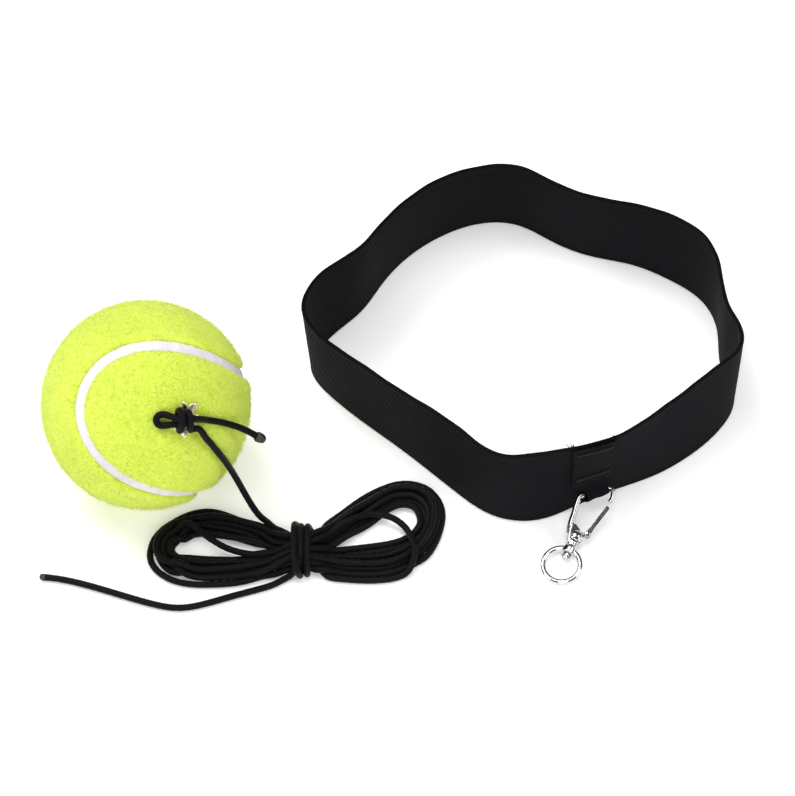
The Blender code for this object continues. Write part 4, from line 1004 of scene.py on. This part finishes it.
def make_strap():
    """The elastic webbing: fine ribs along its length, rounded selvedges, and a little waviness."""
    total = STRAP.along[-1]
    rows = int(total / 1.3)
    s = total * np.arange(rows) / rows
    count = int(STRAP_WIDTH / STRAP_RIB) * 5
    heights = np.linspace(0, 1, count)
    ridge = 0.04 * np.abs(np.sin(np.pi * heights * STRAP_WIDTH / STRAP_RIB)) ** 0.8
    edge = np.minimum(heights, 1 - heights) * STRAP_WIDTH
    rounding = edge_rounding(edge, STRAP_THICKNESS / 2)
    selvedge = 0.10 * np.exp(-(((edge - 1.1) / 0.7) ** 2))
    wave = 0.10 * np.sin(2 * math.pi * 9 * s / total)[:, None] * (1 - 2 * heights)[None] ** 2
    wave += 0.06 * np.sin(2 * math.pi * 31 * s / total + 1)[:, None] * (heights[None] ** 4)
    picks = 0.012 * np.sin(2 * math.pi * s / 2.6)[:, None]
    relief = ridge - rounding + selvedge - 0.16
    back_off = (-STRAP_THICKNESS - relief)[::-1]
    front = STRAP.place(s[:, None], heights[None], relief[None] + wave + picks)
    back = STRAP.place(s[:, None], heights[::-1][None], back_off[None] + wave[:, ::-1] - picks)
    grid = np.concatenate([front, back], axis=1) * MM
    grid[..., 2] = np.maximum(grid[..., 2], 0.02 * MM)
    across = np.concatenate([heights, heights[::-1]]) * STRAP_WIDTH * MM
    quads, r, c = grid_quads(rows, 2 * count, wrap_rows=True, wrap_columns=True)
    uv = np.stack([across[c % (2 * count)], r * total / rows * MM], axis=-1).reshape(-1, 2)
    made = add_mesh(
        "headband_webbing", grid.reshape(-1, 3), quads, "elastic_webbing", "headband", ("strap",), uv
    )
    return made


def flip_check(made):
    """Turns every face round if the closed mesh is inside out."""
    shape = bmesh.new()
    shape.from_mesh(made.data)
    if shape.calc_volume(signed=True) < 0:
        bmesh.ops.reverse_faces(shape, faces=shape.faces)
        shape.to_mesh(made.data)
    shape.free()
    return made


flip_check(make_strap())

# The tab that holds the hook: a strip folded round the crossbar and sewn to the strap's front.
TAB_WIDTH, TAB_LAYER, TAB_PINCHED, TAB_SHIFT = 13.8, 0.45, 7.8, 1.1
TAB_OUTER, TAB_INNER = 1.055, 0.585  # how far each layer's middle lies off the strap
TAB_TOP = STRAP_WIDTH + 0.15  # where its cut ends are, up the strap
CROSSBAR = np.array([62.6, -40.2, 8.4]) + CENTRING
TAB_PINCH = [(-3.6, 0.85), (-2.8, 1.0), (2.8, 1.0), (4.4, 0.4), (6.4, 0.0)]  # (above the bar, share)
TAB_FOLD = [  # (above the crossbar, off the strap): down the outer layer, round the bar and up behind it
    (10.0, TAB_OUTER), (6.4, TAB_OUTER), (4.4, 1.12), (2.9, 1.75), (1.6, 3.2), (0.0, 3.95), (-1.5, 3.3),
    (-2.7, 2.45), (-3.1, 1.75), (-2.75, 1.05), (-2.0, 0.68), (-0.9, TAB_INNER), (3.0, TAB_INNER),
    (10.0, TAB_INNER),
]
TAB_MIDDLE = STRAP.nearest(CROSSBAR) + 0.3


def tab_line():
    """The tab's middle line, from one cut end to the other: (up the strap, off it, width, shift), in mm."""
    line = [(TAB_TOP, TAB_OUTER), (28.0, TAB_OUTER), (23.0, TAB_OUTER)]
    line += [(CROSSBAR[2] + height, off) for height, off in TAB_FOLD]
    line += [(23.0, TAB_INNER), (28.0, TAB_INNER), (TAB_TOP - 0.5, TAB_INNER)]
    line = spline(np.array(line), 0.42, power=1.0)
    pinch = np.interp(line[:, 0] - CROSSBAR[2], *np.array(TAB_PINCH).T)
    return np.column_stack([line, TAB_WIDTH + (TAB_PINCHED - TAB_WIDTH) * pinch, TAB_SHIFT * (1 - pinch)])


def make_tab():
    """The tab's webbing along its middle line, buckled at the fold, and its flat length in mm."""
    line = tab_line()
    rows = len(line)
    slope = unit(np.gradient(line[:, :2], axis=0))
    normal = np.column_stack([-slope[:, 1], slope[:, 0]])
    count = 66
    across = np.linspace(-0.5, 0.5, count)
    half = TAB_LAYER / 2 - 0.03 - edge_rounding((0.5 - np.abs(across)) * TAB_WIDTH, 0.2)
    along = run_along(line[:, :2])
    weave = 0.03 * np.abs(np.sin(np.pi * along / TAB_RIB))[:, None] ** 0.8
    pinched = ((TAB_WIDTH - line[:, 2]) / (TAB_WIDTH - TAB_PINCHED))[:, None]
    buckle = 0.10 * np.sin(across * 9.0)[None] * pinched
    sheets = []
    for way in (1.0, -1.0):
        off = way * half[None] + way * weave + buckle
        height = line[:, 0:1] + normal[:, 0:1] * off
        out = line[:, 1:2] + normal[:, 1:2] * off
        where = TAB_MIDDLE + line[:, 3:4] + across[None] * line[:, 2:3]
        sheets.append(STRAP.place(where, height / STRAP_WIDTH, out))
    grid = np.concatenate([sheets[0], sheets[1][:, ::-1]], axis=1) * MM
    grid[..., 2] = np.maximum(grid[..., 2], 0.05 * MM)
    width = np.concatenate([across, across[::-1]]) * TAB_WIDTH * MM
    quads, r, c = grid_quads(rows, 2 * count, wrap_columns=True)
    uv = np.stack([along[r] * MM, width[c % (2 * count)]], axis=-1).reshape(-1, 2)
    points = grid.reshape(-1, 3)
    made = add_mesh("hook_tab_webbing", points, quads, "tab_webbing", "headband", ("hook_tab",), uv)
    with opened(made) as shape:
        shape.verts.ensure_lookup_table()
        for row in (0, rows - 1):  # closes the two cut ends
            low, high = row * 2 * count, (row + 1) * 2 * count - 1
            for j in range(count - 1):
                corners = (low + j, low + j + 1, high - j - 1, high - j)
                shape.faces.new([shape.verts[v] for v in corners])
        bmesh.ops.recalc_face_normals(shape, faces=shape.faces)
    return made, along[-1]


def thread(name, paths, radius, slot, stands_for=(), sides=6):
    """Sewing threads or loose yarns as one piece: a tapered tube along each path, in mm."""
    points, faces, uv = [], [], []
    for path in paths:
        radii = np.full((len(path), sides), radius * MM)
        radii[[0, -1]] *= 0.35
        first = sum(map(len, points))
        places, sides_and_ends, texture = tube(path * MM, radii)
        points.append(places)
        faces += [[first + corner for corner in face] for face in sides_and_ends]
        uv.append(texture)
    return outward(add_mesh(name, np.vstack(points), faces, slot, "headband", stands_for, np.vstack(uv)))


def bar_tack(name, share, node):
    """A close zigzag of thread across the tab."""
    off = TAB_OUTER + TAB_LAYER / 2 + 0.12
    count = 34
    path = []
    for k in range(count):
        s = TAB_MIDDLE + TAB_SHIFT + (k / (count - 1) - 0.5) * 0.82 * TAB_WIDTH
        swing = 0.78 * (1 if k % 2 else -1)
        for part, lift in ((0.0, 0.0), (0.33, 0.16), (0.66, 0.16)):
            here = swing * (1 - 2 * part)
            path.append(STRAP.place(s + part * 0.35, share + here / STRAP_WIDTH, off + lift))
    return thread(name, [np.array(path)], 0.19, "sewing_thread", (node,))


def frayed_ends():
    """Loose yarns along the tab's cut ends, thickest at its upper corners, and a few from its sides."""
    draw = np.random.default_rng(61)
    paths = []
    # (across the tab, up the strap, how many, sideways spread, least and most climb, least and most lean)
    spots = [(across, TAB_TOP - 0.2, 15, 1.6, 0.7, 2.1, -2.3, -0.4) for across in (-0.49, 0.49)]
    spots += [(across, TAB_TOP - 0.2, 3, 0.4, 0.2, 0.9, -1.0, 0.3) for across in np.linspace(-0.42, 0.42, 9)]
    spots += [
        (-0.5, 31.0, 3, 0.9, -0.5, 0.6, 0.0, 0.6), (0.5, 30.0, 4, 0.9, -0.5, 0.6, 0.0, 0.6),
        (0.5, 24.0, 2, 0.7, -0.4, 0.4, 0.0, 0.5), (-0.5, 22.0, 2, 0.7, -0.4, 0.4, 0.0, 0.5),
    ]
    for across, height, count, spread, least, most, back, front in spots:
        for _ in range(count):
            sign = math.copysign(1.0, across)
            s = TAB_MIDDLE + TAB_SHIFT + across * TAB_WIDTH - sign * draw.uniform(0.0, 0.7)
            h = height - draw.uniform(0.0, 0.5)
            off = draw.choice([TAB_INNER, TAB_OUTER]) + draw.uniform(-0.15, 0.15)
            run, climb = spread * draw.uniform(-0.2, 1.0), draw.uniform(least, most)
            out, bend = draw.uniform(back, front), draw.uniform(-0.5, 0.4)
            t = np.linspace(0, 1, 6)
            up = (h + climb * t**0.8 + bend * t * t) / STRAP_WIDTH
            paths.append(STRAP.place(s + sign * run * t, up, off + out * t * t))
    return thread("tab_frayed_yarns", paths, 0.11, "tab_webbing", sides=5)


tab, tab_length = make_tab()
frays = frayed_ends()
bar_tack("bar_tack_top", 0.93, "tab_tack_top")
bar_tack("bar_tack_middle", 0.52, "tab_tack_middle")

# ---------------------------------------------------------------- snap hook


def cast_copy(node, name, slot, body, voxel, rounds, swell):
    """A CAD metal piece with its facets and edges rounded; swell in mm makes up for what that wears off."""
    source = NODES[node]
    made = bpy.data.objects.new(name, source.data.copy())
    made.matrix_world = source.matrix_world.copy()
    bpy.context.scene.collection.objects.link(made)
    made.data.materials.clear()
    made.data.materials.append(FINISHES[slot])
    remesh = made.modifiers.new("remesh", "REMESH")
    remesh.mode = "VOXEL"
    remesh.voxel_size = voxel * MM
    remesh.use_smooth_shade = True
    smooth = made.modifiers.new("smooth", "SMOOTH")
    smooth.factor = 0.5
    smooth.iterations = rounds
    thicken = made.modifiers.new("thicken", "DISPLACE")
    thicken.mid_level = 0.0
    thicken.strength = swell * MM
    bpy.context.view_layer.update()
    graph = bpy.context.evaluated_depsgraph_get()
    final = bpy.data.meshes.new_from_object(made.evaluated_get(graph))
    made.modifiers.clear()
    made.data = final
    final.shade_smooth()
    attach(made, body)
    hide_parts(node)
    return made


for pieces in (
    ("hook_frame", "hook_casting", "hook_metal", "snap_hook", 0.12, 3, 0.04),
    ("body_rivet", "hook_rivet", "hook_metal", "snap_hook", 0.10, 4, 0.01),
    ("swivel_stem", "swivel_stem_turned", "eye_metal", "snap_hook", 0.10, 4, 0.01),
    ("gate_pin", "gate_pin_headed", "hook_metal", "snap_hook", 0.07, 4, 0.005),
    ("gate", "gate_lever", "gate_metal", "gate", 0.08, 2, 0.03),
    ("swivel_eye", "swivel_eye_ring", "eye_metal", "swivel_eye", 0.10, 6, 0.10),
):
    cast_copy(*pieces)
finish_node("gate_spring", "spring_steel")

# ---------------------------------------------------------------- floor and light


# The studio's brightness by height, from straight down to straight up: (share of the height, tone).
STUDIO_BANDS = ((0.0, 0.25), (0.30, 0.30), (0.42, 1.0), (0.60, 0.9), (0.72, 0.25), (1.0, 0.35))
LAMPS = (  # name, place, diameter in metres, watts
    ("key", (-0.75, 0.65, 1.5), 1.0, 19.5), ("top", (0.0, 0.0, 2.2), 1.4, 20.0),
    ("front", (0.1, -1.5, 0.9), 1.0, 10.0), ("right", (1.4, -0.3, 1.0), 1.0, 8.0),
    ("left", (-1.3, -0.7, 0.8), 0.9, 6.5),
)


def make_floor():
    """A wide pale floor just under the object, faintly lit by itself."""
    finish = Finish("floor_look", (0.90, 0.90, 0.90), 0.85)
    finish.set("Specular IOR Level", 0.1)
    finish.set("Emission Color", (1.0, 1.0, 1.0, 1.0))
    finish.set("Emission Strength", 0.28)
    shape = bmesh.new()
    bmesh.ops.create_grid(shape, x_segments=2, y_segments=2, size=6.0)
    mesh = bpy.data.meshes.new("floor")
    shape.to_mesh(mesh)
    shape.free()
    floor = bpy.data.objects.new("floor", mesh)
    floor.location = (0, 0, -0.2 * MM)
    mesh.materials.append(finish.material)
    bpy.context.scene.collection.objects.link(floor)


def light_studio():
    """A dim banded surround for the metal to reflect, and soft round lamps aimed at the object."""
    world = bpy.data.worlds.new("studio")
    bpy.context.scene.world = world
    world.use_nodes = True
    nodes, links = world.node_tree.nodes, world.node_tree.links
    height = nodes.new("ShaderNodeSeparateXYZ")
    links.new(nodes.new("ShaderNodeTexCoord").outputs["Generated"], height.inputs[0])
    ramp = nodes.new("ShaderNodeValToRGB")
    fill_ramp(ramp.color_ramp, [(place, (tone, tone, tone * 1.01)) for place, tone in STUDIO_BANDS])
    links.new(height.outputs["Z"], ramp.inputs[0])
    links.new(ramp.outputs[0], nodes["Background"].inputs["Color"])
    nodes["Background"].inputs["Strength"].default_value = 0.22
    for name, place, size, power in LAMPS:
        data = bpy.data.lights.new(name, "AREA")
        data.shape, data.size, data.energy = "DISK", size, power
        lamp = bpy.data.objects.new(name, data)
        lamp.location = place
        lamp.rotation_euler = (-Vector(place)).to_track_quat("-Z", "Y").to_euler()
        bpy.context.scene.collection.objects.link(lamp)


make_floor()
light_studio()

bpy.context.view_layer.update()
